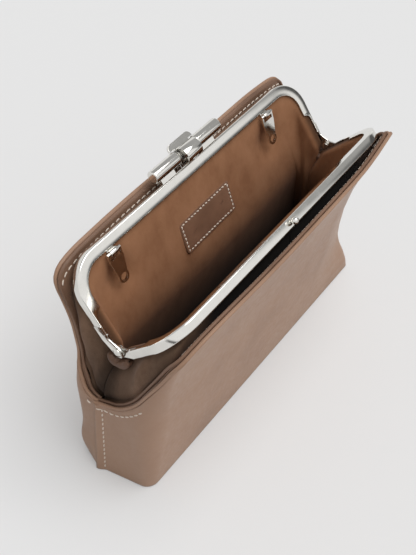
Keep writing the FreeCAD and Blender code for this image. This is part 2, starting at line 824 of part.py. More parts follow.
def lining_path(side):
    # Depth, height and half length of the lining from the floor to its tuck in the channel
    middle = size("closed_half_gap") + size("channel_width") / 2
    mouth_up = size("frame_rise") - size("inner_flange")
    mouth_depth, mouth_height = frame_point(side, middle, mouth_up)
    tuck_depth, tuck_height = frame_point(side, middle, mouth_up + size("lining_tuck"))
    drape = size("front_drape_depth") if side == front else size("back_drape_depth")
    return [
        (size("lining_foot_depth"), inner_floor() + size("soft_clearance"), size("lining_half_length")),
        (drape, size("lining_drape_height"), size("lining_neck_half_length")),
        (mouth_depth, mouth_height, size("lining_top_half_length")),
        (tuck_depth, tuck_height, size("lining_top_half_length")),
    ]


def lining(side):
    half = size("lining_sheet") / 2
    wires = []
    for depth, height, length in lining_path(side):
        plan = [(-length, depth - half), (length, depth - half), (length, depth + half), (-length, depth + half)]
        points = [Vector(x, side * y, height) for x, y in plan]
        wires.append(Part.makePolygon(points + points[:1]))
    put_shape(f"{side_names[side]}_lining", Part.makeLoft(wires, True, True))


def gusset(end):
    # The suede end of the inner bag, folded inwards under the hinge
    half = size("gusset_half_depth")
    thick = size("gusset_sheet")
    room = size("leather_sheet") + size("soft_clearance")
    top = size("hinge_height") - size("cuff_radius") - size("soft_clearance")
    wires = []
    levels = (
        ("base", inner_floor() + size("soft_clearance"), size("gusset_foot_fold")),
        ("mid", size("seam_height") * mid_height_share, size("gusset_fold")),
        ("seam", size("seam_height"), size("gusset_fold")),
        ("split", size("split_height"), size("gusset_fold")),
        ("low", top, size("gusset_fold")),
    )
    for level, height, fold in levels:
        reach = []
        for side in (front, back):
            cut = section(side, level)
            slope = (cut["corners"][end] - cut["ends"][end]) / (cut["depth"] - cut["edge"])
            across = cut["ends"][end] + slope * (half - cut["edge"])
            reach.append(across - room * math.sqrt(1 + slope**2))
        outer = min(reach) - thick
        plan = [
            (outer, -half),
            (outer - fold, 0),
            (outer, half),
            (outer - thick, half),
            (outer - fold - thick, 0),
            (outer - thick, -half),
        ]
        points = [Vector(end * x, y, height) for x, y in plan]
        wires.append(Part.makePolygon(points + points[:1]))
    put_shape(f"{end_names[end]}_gusset", Part.makeLoft(wires, True, True))


def hinge_cuff(end):
    # The leather cuff sewn round the underside of a hinge
    body = new_body(f"{end_names[end]}_hinge_cuff")
    near = "hinge_half_span + cuff_proud" if end == left else "hinge_half_span + cuff_proud - cuff_length"
    sketch = new_sketch(body, "YZ_Plane", signed(end, near))
    inner = "(cuff_radius - cuff_wall)"
    reach = "cos(cuff_angle * 1 deg)"
    drop = "sin(cuff_angle * 1 deg)"
    corners = [
        (f"-cuff_radius * {reach}", f"-cuff_radius * {drop}", "cuff_radius", 1),
        (f"cuff_radius * {reach}", f"-cuff_radius * {drop}"),
        (f"{inner} * {reach}", f"-{inner} * {drop}", inner, -1),
        (f"-{inner} * {reach}", f"-{inner} * {drop}"),
    ]
    grow(body, "Pad", draw(sketch, corners), "cuff_length")
    body.Placement = FreeCAD.Placement(Vector(0, 0, size("hinge_height")), FreeCAD.Rotation())


def label_patch():
    # The bare leather patch sewn on the back lining
    body = new_body("label_patch")
    corners = [
        ("-patch_length / 2", "-patch_height / 2 + patch_corner"),
        ("-patch_length / 2", "patch_height / 2 - patch_corner", "patch_corner", -1),
        ("-patch_length / 2 + patch_corner", "patch_height / 2"),
        ("patch_length / 2 - patch_corner", "patch_height / 2", "patch_corner", -1),
        ("patch_length / 2", "patch_height / 2 - patch_corner"),
        ("patch_length / 2", "-patch_height / 2 + patch_corner", "patch_corner", -1),
        ("patch_length / 2 - patch_corner", "-patch_height / 2"),
        ("-patch_length / 2 + patch_corner", "-patch_height / 2", "patch_corner", -1),
    ]
    sketch = draw(new_sketch(body, "XZ_Plane"), corners)
    grow(body, "Pad", sketch, "patch_sheet")
    _, low, high, _ = lining_path(back)
    slope = math.atan2(high[0] - low[0], high[1] - low[1])
    share = (size("patch_middle_height") - low[1]) / (high[1] - low[1])
    stand = (size("lining_sheet") / 2 + size("layer_gap")) / math.cos(slope)
    depth = between(low[0], high[0], share) - stand
    turn = FreeCAD.Rotation(Vector(1, 0, 0), -math.degrees(slope))
    body.Placement = FreeCAD.Placement(Vector(0, depth, size("patch_middle_height")), turn)


for side in (front, back):
    channel = frame_channel(side)
    if side == front:
        drill_stud_hole(channel)
    channel_cord(side)
    lining(side)
for end in (left, right):
    hinge_rivet(end)
    lock_barrel(end)
    loop_bracket(end)
    chain_loop(end)
    gusset(end)
    hinge_cuff(end)
lock_shaft()
lock_rocker()
lock_spring()
catch_stud()
label_patch()
leather_panels()
wall_inset = size("leather_sheet") + size("floor_gap")
floor_plate("base_panel", wall_inset, 0, size("leather_sheet"))
floor_plate("base_board", wall_inset + size("board_inset"), size("leather_sheet"), size("board_sheet"))

doc.recompute()
failed = [item.Label for item in doc.Objects if "Invalid" in item.State or "Error" in item.State]
pieces = [item for item in doc.Objects if item.TypeId in ("PartDesign::Body", "Part::Feature")]
for item in pieces:
    if item.Shape.isNull() or not item.Shape.isValid() or len(item.Shape.Solids) != 1:
        failed.append(f"{item.Label} has no sound single solid")
if failed:
    raise RuntimeError(", ".join(failed))
os.makedirs("parts", exist_ok=True)
for item in pieces:
    item.Shape.exportStep(f"parts/{item.Label}.step")
print(len(pieces), "pieces written")
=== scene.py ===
import math

import bpy
import numpy as np
from mathutils import Matrix, Vector


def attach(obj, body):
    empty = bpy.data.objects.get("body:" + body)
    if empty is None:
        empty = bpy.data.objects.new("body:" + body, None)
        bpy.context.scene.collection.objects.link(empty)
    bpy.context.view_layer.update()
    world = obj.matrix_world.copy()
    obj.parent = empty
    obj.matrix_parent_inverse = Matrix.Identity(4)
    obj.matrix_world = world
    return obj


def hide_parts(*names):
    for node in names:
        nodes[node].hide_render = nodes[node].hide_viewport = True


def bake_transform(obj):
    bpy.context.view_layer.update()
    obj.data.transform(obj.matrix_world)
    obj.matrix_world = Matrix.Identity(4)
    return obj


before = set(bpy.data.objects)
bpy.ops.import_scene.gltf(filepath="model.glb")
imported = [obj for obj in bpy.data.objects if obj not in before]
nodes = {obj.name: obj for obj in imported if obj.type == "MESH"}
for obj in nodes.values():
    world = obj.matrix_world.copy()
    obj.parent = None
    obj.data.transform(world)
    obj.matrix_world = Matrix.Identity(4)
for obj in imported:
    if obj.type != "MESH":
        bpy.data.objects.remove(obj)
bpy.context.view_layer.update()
mm = 0.001  # the pieces' sizes are in mm and degrees
front, back = -1, 1
left, right = -1, 1
sideNames = {front: "front", back: "back"}
endNames = {left: "left", right: "right"}

# The camera comes first: the viewing angle of the photograph, in metres and degrees
view = dict(
    target=(-0.0036, 0.0146, 0.06324), distance=0.5299, azimuth=-53.9, elevation=49.7, roll=1.1,
    lens=56.68, sensor=36, clip=(0.01, 20),
)


def placeCamera():
    # looks at the target along azimuth and elevation, and is rolled about that line
    azimuth, elevation, roll = (math.radians(view[key]) for key in ("azimuth", "elevation", "roll"))
    flat = math.cos(elevation)
    away = Vector((math.sin(azimuth) * flat, -math.cos(azimuth) * flat, math.sin(elevation)))
    across = Vector((math.cos(azimuth), math.sin(azimuth), 0))
    upward = away.cross(across)
    turnedAcross = across * math.cos(roll) + upward * math.sin(roll)
    turnedUp = upward * math.cos(roll) - across * math.sin(roll)
    place = Vector(view["target"]) + away * view["distance"]
    camera = bpy.data.objects.new("camera", bpy.data.cameras.new("camera"))
    bpy.context.scene.collection.objects.link(camera)
    turn = Matrix((turnedAcross, turnedUp, away)).transposed().to_4x4()
    camera.matrix_world = Matrix.Translation(place) @ turn
    camera.data.sensor_width = view["sensor"]
    camera.data.lens = view["lens"]
    camera.data.clip_start, camera.data.clip_end = view["clip"]
    bpy.context.scene.camera = camera


placeCamera()
bpy.context.scene.view_settings.view_transform = "Standard"
print("camera placed")

# Materials


def rgb(*colour):
    # screen colour 0 to 255 to linear light
    scaled = np.array(colour) / 255
    linear = np.where(scaled <= 0.04045, scaled / 12.92, ((scaled + 0.055) / 1.055) ** 2.4)
    return (*linear.tolist(), 1)


class NodeTree:
    # short helpers for the nodes of a material or of the world
    def __init__(self, tree):
        self.tree = tree
        self.coords = self.add("ShaderNodeTexCoord").outputs

    def add(self, kind, **values):
        node = self.tree.nodes.new(kind)
        for key, value in values.items():
            setattr(node, key, value)
        return node

    def feed(self, socket, value):
        if isinstance(value, bpy.types.NodeSocket):
            self.tree.links.new(value, socket)
        else:
            socket.default_value = value

    def fill(self, node, values):
        for key, value in values.items():
            self.feed(node.inputs[key], value)
        return node

    def spread(self, source, low, high, fromLow=0.3, fromHigh=0.7):
        values = {"Value": source, "From Min": fromLow, "From Max": fromHigh, "To Min": low, "To Max": high}
        return self.fill(self.add("ShaderNodeMapRange"), values).outputs["Result"]

    def calc(self, operation, first, second):
        return self.fill(self.add("ShaderNodeMath", operation=operation), {0: first, 1: second}).outputs["Value"]

    def axes(self, place):
        return self.fill(self.add("ShaderNodeSeparateXYZ"), {"Vector": place}).outputs


class Finish(NodeTree):
    # a principled material
    def __init__(self, name):
        self.material = bpy.data.materials.new(name)
        self.material.use_nodes = True
        super().__init__(self.material.node_tree)
        self.shader = self.tree.nodes["Principled BSDF"]

    def mapped(self, stretch=None):
        place = self.coords["Object"]
        if stretch is None:
            return place
        return self.fill(self.add("ShaderNodeMapping"), {"Scale": stretch, "Vector": place}).outputs["Vector"]

    def noise(self, scale, detail=4, roughness=0.6, stretch=None):
        values = {"Scale": scale, "Detail": detail, "Roughness": roughness, "Vector": self.mapped(stretch)}
        return self.fill(self.add("ShaderNodeTexNoise"), values).outputs["Fac"]

    def cells(self, scale):
        texture = self.add("ShaderNodeTexVoronoi", feature="DISTANCE_TO_EDGE")
        return self.fill(texture, {"Scale": scale, "Vector": self.mapped()}).outputs["Distance"]

    def ramp(self, source, *stops):
        node = self.add("ShaderNodeValToRGB")
        marks = node.color_ramp.elements
        while len(marks) < len(stops):
            marks.new(0.5)
        for mark, (position, colour) in zip(marks, stops):
            mark.position = position
            mark.color = colour
        return self.fill(node, {"Fac": source}).outputs["Color"]

    def mix(self, amount, first, second):
        node = self.add("ShaderNodeMix", data_type="RGBA")
        return self.fill(node, {0: amount, 6: first, 7: second}).outputs[2]

    def bump(self, source, distance, strength=1, before=None):
        values = {"Distance": distance, "Strength": strength, "Height": source}
        if before is not None:
            values["Normal"] = before
        return self.fill(self.add("ShaderNodeBump"), values).outputs["Normal"]

    def attribute(self, name):
        return self.add("ShaderNodeAttribute", attribute_name=name).outputs["Fac"]

    def set(self, values):
        self.fill(self.shader, values)


# tint, dark and pale tones as screen colours
tones = dict(
    outer=((164, 130, 107), (154, 121, 99), (168, 135, 112)),
    facing=((130, 100, 81), (106, 80, 64), (140, 109, 90)),
    trim=((136, 101, 80), (114, 84, 66), (142, 107, 86)),
    cuff=((104, 78, 63), (76, 56, 45), (116, 88, 72)),
    suede=((126, 100, 82), (100, 77, 62), (138, 111, 92)),
    lining=((160, 115, 84), (144, 101, 72), (170, 124, 92)),
    metal=((232, 230, 225), (222, 220, 214)),
    spring=((176, 174, 168), (160, 158, 152)),
    thread=((240, 228, 214), (196, 178, 162)),
    board=((134, 118, 98), (104, 90, 72)),
    cord=((198, 184, 158), (164, 148, 122)),
)


def tonesOf(kind):
    # the tones of a finish in linear light
    return [rgb(*tone) for tone in tones[kind]]


def leatherFinish(name, kind, roughness, creases=0.0):
    # smooth calf: faint clouds of tone, fine pebble grain, darker worn cut edges where the darkening attribute is
    # painted
    made = Finish(name)
    tint, dark, pale = tonesOf(kind)
    tone = made.ramp(made.noise(22, 4), (0.3, dark), (0.5, tint), (0.72, pale))
    pores = made.cells(1500)
    toned = made.mix(made.spread(pores, 0.12, 0, 0, 0.12), tone, dark)
    worn = made.mix(made.spread(made.attribute("darkening"), 0, 0.5, 0, 1), toned, dark)
    grain = made.bump(pores, 0.00004, 0.45)
    soft = made.bump(made.noise(2600, 3), 0.00003, 0.35, grain)
    if creases:
        lines = made.noise(120, 6, 0.7, (1.6, 1, 0.5))
        soft = made.bump(made.spread(lines, 0, 1, 0.46, 0.54), 0.0001, creases, soft)
    gloss = made.spread(made.noise(300), roughness - 0.05, roughness + 0.07)
    made.set({"Base Color": worn, "Roughness": gloss, "Normal": soft, "Specular IOR Level": 0.24})
    made.set({"Coat Weight": 0.05, "Coat Roughness": 0.25})
    return made.material


def clothFinish(name, kind, fuzz, sheen, shade, deep):
    # brushed microfibre or suede: short nap, mottled by hand strokes;
    # a painted shade darkens the tone towards the bottom of the bag, where little light gets in, and a deep painted
    # shade tone goes where the darkening attribute is painted
    made = Finish(name)
    tint, dark, pale = tonesOf(kind)
    nap = made.noise(3200, 2, 0.8)
    strokes = made.noise(70, 5, 0.65, (1, 1, 0.6))
    tone = made.ramp(strokes, (0.3, dark), (0.5, tint), (0.72, pale))
    flecks = made.mix(made.spread(nap, 0.0, 0.3, 0.45, 0.7), tone, dark)
    if shade is not None:
        # painted shade: darker towards the bottom of the bag
        height = made.axes(made.mapped())["Z"]
        flecks = made.mix(made.spread(height, 0.95, 0, 0.045, 0.108), flecks, shade)
    # painted shade: the deep tone where the darkening attribute is painted
    flecks = made.mix(made.attribute("darkening"), flecks, deep)
    rough = made.bump(nap, 0.00015, fuzz)
    soft = made.bump(made.noise(150, 3), 0.0005, 0.15, rough)
    made.set({"Base Color": flecks, "Roughness": 0.92, "Normal": soft, "Specular IOR Level": 0.08})
    made.set({"Sheen Weight": sheen, "Sheen Roughness": 0.5})
    return made.material


def metalFinish(name, kind, low, high, ripple):
    # polished nickel: faint haze, hairlines along the frame and a slight hand-polished waviness
    made = Finish(name)
    tint, dark = tonesOf(kind)
    haze = made.noise(120, 5)
    hairs = made.bump(made.noise(900, 3, 0.7, (0.06, 1.0, 1.0)), 0.00002, 0.1)
    wavy = made.bump(made.noise(55, 2), 0.0003, ripple, hairs)
    made.set({"Base Color": made.ramp(haze, (0.25, dark), (0.7, tint)), "Metallic": 1, "Normal": wavy})
    made.set({"Roughness": made.spread(haze, low, high)})
    return made.material


def threadFinish(name, kind):
    # waxed thread: the ply shows as a fine change of tone and height
    made = Finish(name)
    tint, dark = tonesOf(kind)
    ply = made.noise(1800, 2)
    made.set({"Base Color": made.ramp(ply, (0.3, dark), (0.7, tint)), "Roughness": 0.7})
    made.set({"Normal": made.bump(ply, 0.0001, 0.5), "Sheen Weight": 0.2})
    return made.material


def boardFinish(name, kind):
    # pressed paper: pulp as a change of tone and height
    made = Finish(name)
    tint, dark = tonesOf(kind)
    pulp = made.noise(700, 6, 0.7)
    made.set({"Base Color": made.ramp(pulp, (0.35, dark), (0.65, tint)), "Roughness": 0.88})
    made.set({"Normal": made.bump(pulp, 0.0002, 0.5)})
    return made.material


finishes = {
    "outer": leatherFinish("outerLeather", "outer", 0.4, 0.15),
    "facing": leatherFinish("facingLeather", "facing", 0.46),
    "trim": leatherFinish("trimLeather", "trim", 0.48),
    "cuff": leatherFinish("cuffLeather", "cuff", 0.5),
    # the last colours of the suede and the lining are painted shade tones: the lining's shade towards the bag's bottom,
    # and the deep tones where shade is painted on both
    "suede": clothFinish("gussetSuede", "suede", 0.6, 0.05, None, rgb(16, 11, 7)),
    "lining": clothFinish("liningCloth", "lining", 0.5, 0.04, rgb(34, 20, 11), rgb(58, 39, 27)),
    "metal": metalFinish("polishedNickel", "metal", 0.07, 0.14, 0.1),
    "spring": metalFinish("springSteel", "spring", 0.22, 0.34, 0.05),
    "thread": threadFinish("stitchThread", "thread"),
    "board": boardFinish("stiffenerBoard", "board"),
    "cord": boardFinish("packingCord", "cord"),
}
print("finishes made", len(finishes))

# Small mesh helpers


def meshObject(name, points, faces, finish):
    # a smooth mesh from points in mm
    mesh = bpy.data.meshes.new(name)
    places = np.asarray(points, float).reshape(-1, 3) * mm
    mesh.from_pydata(places.tolist(), [], [list(face) for face in faces])
    mesh.polygons.foreach_set("use_smooth", np.full(len(mesh.polygons), True))
    mesh.materials.append(finishes[finish])
    mesh.validate()
    mesh.update()
    piece = bpy.data.objects.new(name, mesh)
    bpy.context.scene.collection.objects.link(piece)
    return piece


def numbered(rows, columns, start=0):
    # a table of point numbers, row by row
    return start + np.arange(rows * columns).reshape(rows, columns)


def gridFaces(index, closed=False, flip=False):
    # quads between neighbouring rows and columns of a table of point numbers
    if closed:
        index = np.hstack((index, index[:, :1]))
    quads = np.stack((index[:-1, :-1], index[:-1, 1:], index[1:, 1:], index[1:, :-1]), -1).reshape(-1, 4)
    return (quads[:, ::-1] if flip else quads).tolist()


def tubeFaces(rows, columns, start=0, flip=False):
    # a closed tube of rings with flat caps at both ends
    index = numbered(rows, columns, start)
    caps = [index[0].tolist(), index[-1, ::-1].tolist()]
    return gridFaces(index, True, flip) + [cap[::-1] if flip else cap for cap in caps]


def paint(piece, values, shape=None):
    # a darkening value at each point, spread over the grid where only its rows or columns are given; on the leather it
    # is wear at the cut edges, on the suede and lining it is painted shade
    values = np.asarray(values, np.float32)
    layer = piece.data.attributes.new("darkening", "FLOAT", "POINT")
    layer.data.foreach_set("value", np.broadcast_to(values, shape or values.shape).ravel())


def thicken(piece, thickness, offset=-1):
    # offset -1 grows inwards from the surface, 0 to both sides
    solid = piece.modifiers.new("thickness", "SOLIDIFY")
    solid.thickness = thickness * mm
    solid.offset = offset


def softenEdges(piece, width, segments=3, angle=40):
    # rounds the edges that are sharper than the angle
    soften = piece.modifiers.new("edge", "BEVEL")
    soften.width = width * mm
    soften.segments = segments
    soften.limit_method = "ANGLE"
    soften.angle_limit = math.radians(angle)


def mergeDoubles(piece, distance):
    merge = piece.modifiers.new("merge", "WELD")
    merge.merge_threshold = distance * mm


def bell(distance, width, power=2):
    # 1 in the middle, fading to both sides
    return np.exp(-((distance / width) ** power))


def ramped(value, low, run):
    # 0 up to low, 1 after a further run, straight in between
    return np.clip((value - low) / run, 0, 1)


def smoothed(values, reach, axis=0):
    # running mean with the ends held, so that a table of straight runs becomes a soft curve
    values = np.moveaxis(np.asarray(values, float), axis, 0)
    head = 2 * values[:1] - values[1 : reach + 1][::-1]
    tail = 2 * values[-1:] - values[-reach - 1 : -1][::-1]
    padded = np.concatenate((head, values, tail))
    total = np.cumsum(np.concatenate((padded[:1] * 0, padded)), axis=0)
    width = 2 * reach + 1
    return np.moveaxis((total[width:] - total[:-width]) / width, 0, axis)


def lengths(path):
    # the run along a path up to each of its points
    return np.concatenate(([0], np.cumsum(np.linalg.norm(np.diff(path, axis=0), axis=1))))


def readPath(where, run, values):
    # values along a path, read at other runs
    return np.stack([np.interp(where, run, column) for column in values.T], -1)


def evenly(path, count):
    # the same path by even steps of length
    run = lengths(path)
    return readPath(np.linspace(0, run[-1], count), run, path)


def unit(vectors):
    # each vector divided by its length
    return vectors / np.maximum(np.linalg.norm(vectors, axis=-1, keepdims=True), 1e-9)


def squareTo(vectors, along):
    # what is left of the vectors square to a path, at length 1
    return unit(vectors - along * (vectors * along).sum(1, keepdims=True))


def gridNormals(points):
    # unit normals of a grid of points, from its two tangents
    return unit(np.cross(np.gradient(points, axis=1), np.gradient(points, axis=0)))


def around(count):
    # even angles of one turn
    return np.linspace(0, 2 * math.pi, count, endpoint=False)


def carried(path, along, first, radius, count):
    # a round profile carried along a path: cos times the first and sin times the second way across
    second = np.cross(along, first)
    turn = around(count)[None, :, None]
    return path[:, None] + radius * (np.cos(turn) * first[:, None] + np.sin(turn) * second[:, None])


# The frame as the solids have it
frameSizes = dict(tilt={front: 41, back: 36}, hinge=105.4, halfSpan=100, rise=50.5, corner=20, out=3.8)


def framePoint(side, x, out, up):
    # from a frame half's own axes, upright on its hinge line, to where it stands open
    tilt = math.radians(frameSizes["tilt"][side])
    depth = np.multiply(out, math.cos(tilt)) + np.multiply(up, math.sin(tilt))
    height = frameSizes["hinge"] - np.multiply(out, math.sin(tilt)) + np.multiply(up, math.cos(tilt))
    return np.stack(np.broadcast_arrays(x, side * depth, height), -1)


def archPath(inset, low, count):
    # x and up along an upside-down U that runs inset from the frame's outer edge, by even steps of length
    wide, top, bend = (frameSizes[key] - inset for key in ("halfSpan", "rise", "corner"))
    arm, quarter, bar = top - bend - low, bend * math.pi / 2, wide - bend
    run = np.linspace(-1, 1, count) * (arm + quarter + bar)
    reach = np.abs(run)
    angle = np.clip((reach - bar) / bend, 0, math.pi / 2)
    x = np.minimum(reach, bar) + bend * np.sin(angle)
    up = top - bend + bend * np.cos(angle) - np.maximum(reach - bar - quarter, 0)
    return np.stack((np.sign(run) * x, up), -1)


# Metal channel of each frame half, with its hinge ears
channel = dict(
    near=1.0, far=6.6, sheet=0.9, inner=6.2, outer=5.5, low=10.5, lip=1.8, reliefTop=24, edge=0.2,
    crease=0.1, stations=361, bendSteps=6,
)
ear = dict(
    radius=4.0, neck=8, lap=16.5, sweep=-225, x={front: (98.2, 99.1), back: (99.2, 100.08)}, edge=0.2,
    discSteps=30, steps=81,
)


def channelProfile():
    # (out, inset share on the inner flange, plain inset) round the folded sheet, with rounded bends and edges
    near, far, sheet, edge, outer = (channel[key] for key in ("near", "far", "sheet", "edge", "outer"))
    turn = np.radians(np.linspace(0, 90, channel["bendSteps"]))
    sine, cosine = sheet * np.sin(turn), sheet * np.cos(turn)
    bendIn = np.stack((near + sheet - cosine, 0 * turn, sheet - sine), -1)
    bendOut = np.stack((far - sheet + sine, 0 * turn, sheet - cosine), -1)
    lip = ((near + edge, 1, 0), (near, 1, -edge))
    foot = ((far, 0, outer - edge), (far - edge, 0, outer))
    footBack = ((far - sheet + edge, 0, outer), (far - sheet, 0, outer - edge))
    inside = ((far - sheet, 0, sheet), (near + sheet, 0, sheet))
    lipBack = ((near + sheet, 1, -edge), (near + sheet - edge, 1, 0))
    return np.vstack((lip, bendIn, bendOut, foot, footBack, inside, lipBack))


def earOutline():
    # a disc round the rivet that runs up into the end of the channel, as out and up
    turn = np.radians(np.linspace(0, ear["sweep"], ear["discSteps"]))
    disc = ear["radius"] * np.stack((np.cos(turn), np.sin(turn)), -1)
    outside = np.array(((channel["far"], ear["lap"]), (channel["far"], ear["neck"])))
    inside = np.array(((channel["near"], ear["neck"]), (channel["near"], ear["lap"])))
    return evenly(np.vstack((outside, disc, inside, outside[:1])), ear["steps"])[:-1]


def makeChannel(side):
    # the profile is carried along the arch; each inset runs from the outer edge towards the mouth
    path = archPath(0, channel["low"], channel["stations"])
    along = unit(np.gradient(path, axis=0))
    inward = np.stack((along[:, 1], -along[:, 0]), -1)
    # the inner flange has a rounded relief next to the hinge
    depth = channel["inner"] - channel["lip"]
    fall = np.clip(channel["reliefTop"] - path[:, 1], 0, depth)
    flange = channel["lip"] + np.where(fall > 0, depth - np.sqrt(depth**2 - (depth - fall) ** 2), depth)
    out, onFlange, plain = channelProfile().T
    inset = onFlange * flange[:, None] + plain
    spot = path[:, None] + inward[:, None] * inset[..., None]
    sweep = framePoint(side, spot[..., 0], out, spot[..., 1])
    points = [sweep.reshape(-1, 3)]
    faces = tubeFaces(*sweep.shape[:2], flip=side == back)
    outline = earOutline()
    shrunk = outline - unit(outline - outline.mean(0)) * ear["edge"]
    low, high = ear["x"][side]
    rings = ((shrunk, low), (outline, low + ear["edge"]), (outline, high - ear["edge"]), (shrunk, high))
    for end in (left, right):
        plate = np.stack([framePoint(side, end * x, ring[:, 0], ring[:, 1]) for ring, x in rings])
        faces += tubeFaces(*plate.shape[:2], sum(len(part) for part in points), side * end > 0)
        points.append(plate.reshape(-1, 3))
    piece = meshObject(f"{sideNames[side]}_frame_metal", np.concatenate(points), faces, "metal")
    softenEdges(piece, channel["crease"], 2)
    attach(piece, f"{sideNames[side]}_frame")
    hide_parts(f"{sideNames[side]}_frame_channel")


for side in (front, back):
    makeChannel(side)
print("frame channels swept")

# Outer leather: one soft wall for each side, from the base to the rim, with a U cut at each end.
# The tables run from the base up; depth is measured from the hinge line and reach from the middle.
# The U's edge is a run along the plan from the side seam, by height.
# The pinches draw the right end in; rightBend and rightRim make its corners squarer than the left ones.
walls = {
    front: dict(
        height=(0, 35, 70, 80, 106.8, 124.7, 139.6),
        depth=(25, 27.8, 30.7, 31.5, 35.6, 40.5, 46.0),
        end=(117, 114, 111, 109.6, 106.6, 104.2, 102.2),
        corner=(110, 111, 112, 110.7, 107.2, 104.9, 103),
        bend=(8, 11, 14, 12.1, 7.2, 5.5, 5),
        pinch=(0, 7.7, 11, 9.4, 6.1, 3.9, 3.3),
        cornerPinch=(0, 12.6, 18, 15.3, 9.9, 6.3, 5.4),
        seam=-9.6,
        uRun=(0, 4, 10.5, 17.5, 25.3, 30.8, 34.3, 37.6, 40.7, 43.7, 47.9, 49.6),
        uHeight=(64.8, 65.2, 66.6, 71, 79, 87, 94.3, 100.4, 106.6, 112.4, 121.4, 125),
        shoulder=83,
        rimRun=(0, 2, 5.2, 10, 18, 28, 40),
        rimDrop=(14.6, 11.6, 8.4, 5.6, 2.9, 1.2, 0.8),
        rightBend=0.45,
        rightRim=5,
    ),
    back: dict(
        height=(0, 35, 70, 80, 108.6, 127.6, 143.5),
        depth=(25, 25.9, 26.8, 27, 31.4, 36.8, 42.9),
        end=(117, 114, 111, 108, 105.4, 104.2, 103.2),
        corner=(110, 111, 112, 108, 106.2, 105.1, 104.2),
        bend=(8, 8, 7.5, 6.5, 6.4, 5, 5),
        pinch=(0, 7.7, 11, 9.4, 6.1, 3.9, 3.3),
        cornerPinch=(0, 7.7, 11, 9.4, 6.1, 3.9, 3.3),
        seam=8.1,
        uRun=(0, 5.6, 9, 10.8, 13, 17, 21, 23.3, 24.6, 26, 27, 28.6, 30, 31.2),
        uHeight=(64.8, 65.2, 67, 71.8, 76.2, 79.6, 82.4, 87, 93, 104, 110, 118, 124.5, 130),
        shoulder=76,
        rimRun=(0, 1.2, 3.6, 6.2, 9.8, 14.5, 21, 45, 70),
        rimDrop=(13.5, 10.6, 7.4, 5.4, 3.9, 3, 2.2, 1.4, 0.9),
        rightBend=1,
        rightRim=2,
    ),
}
wallGrid = dict(
    lower=60, leastRows=6, upper=46, bottom=16, beside=22, face=120, riseSteps=60, rimTries=5, leastBend=0.8,
    ladder=281, soften=12, uSteps=121, uSoften=5, uLimit=0.97, lap=1.5, lapRun=(4.5, 3), darkening=2,
)
# the front wall is drawn in towards its right end, by amounts from the base up
drawnIn = dict(
    height=(0, 10, 21, 30, 42, 55, 80, 100, 115, 127, 139.6),
    amount=(0, 0.5, 2.8, 6, 9.6, 10.8, 10.8, 8.4, 6.2, 5.2, 4),
    start=55, run=45, limit=1.3, power=1.5, depthRun=(2, 24),
)
# crown and faint waves of both walls, and the back wall's lower left corner, which flares out
slack = dict(half=103, crown=1.1, wave=0.3, waveTurns=(0.045, 0.03, 0.055), rimCrown=1.9)
flareSizes = dict(height=14, length=13, x=-108, width=12, outward=2.2, backward=2.0)
layers = dict(
    outer=dict(inset=0, low=0.65, thickness=2.0, rollInset=1.0, roll=1.04),
    facing=dict(inset=2.4, low=62, thickness=1.9, rollInset=3.35, roll=0.96),
)
rollSizes = dict(ring=10, step=1.1, soften=4, look=0.5, darkening=0.25)


def wallTable(side, key, height):
    # one table as a soft curve, read at the height
    ladder = np.linspace(0, walls[side]["height"][-1], wallGrid["ladder"])
    values = smoothed(np.interp(ladder, walls[side]["height"], walls[side][key]), wallGrid["soften"])
    return np.interp(height, ladder, values)


def wallPlan(side, end, height, inset=0.0):
    # one end of the wall's plan: a straight stretch x = corner + slope * (depth - far), and a rounded corner
    keys = ("depth", "end", "corner", "bend", "pinch", "cornerPinch")
    depth, reach, corner, bend, pinch, cornerPinch = (wallTable(side, key, height) for key in keys)
    if end == right:
        reach, corner, bend = reach - pinch, corner - cornerPinch, bend * walls[side]["rightBend"]
    seam = walls[side]["seam"]
    slope = (corner - reach) / (depth - seam)
    tilt = np.sqrt(1 + slope**2)
    corner, far = corner - inset * (slope + tilt), depth - inset
    bend = np.maximum(bend - inset, wallGrid["leastBend"])
    run = bend / np.tan(np.arccos(slope / tilt) / 2)
    angle = np.arctan2(bend - run / tilt, run - slope / tilt * run)
    straight = (far - run / tilt - seam) * tilt
    length = straight + bend * (math.pi / 2 - angle)
    return dict(
        corner=corner, far=far, slope=slope, tilt=tilt, bend=bend, middle=corner - run, angle=angle,
        straight=straight, length=length,
    )


def endPlace(side, end, height, share, inset):
    # reach and depth at a share of the run from the seam round the corner; beyond 1 it goes on along the face
    plan = wallPlan(side, end, height, inset)
    run = share * plan["length"]
    depth = walls[side]["seam"] + np.minimum(run, plan["straight"]) / plan["tilt"]
    lap = wallGrid["lap"] * ramped(-depth, *wallGrid["lapRun"]) if side == front else 0
    x = plan["corner"] + plan["slope"] * (depth - plan["far"]) + lap
    turn = np.minimum(plan["angle"] + np.maximum(run - plan["straight"], 0) / plan["bend"], math.pi / 2)
    onArc = run > plan["straight"]
    beyond = np.maximum(run - plan["length"], 0)
    x = np.where(onArc, plan["middle"] + plan["bend"] * np.cos(turn) - beyond, x)
    return x, np.where(onArc, plan["far"] + plan["bend"] * (np.sin(turn) - 1), depth)


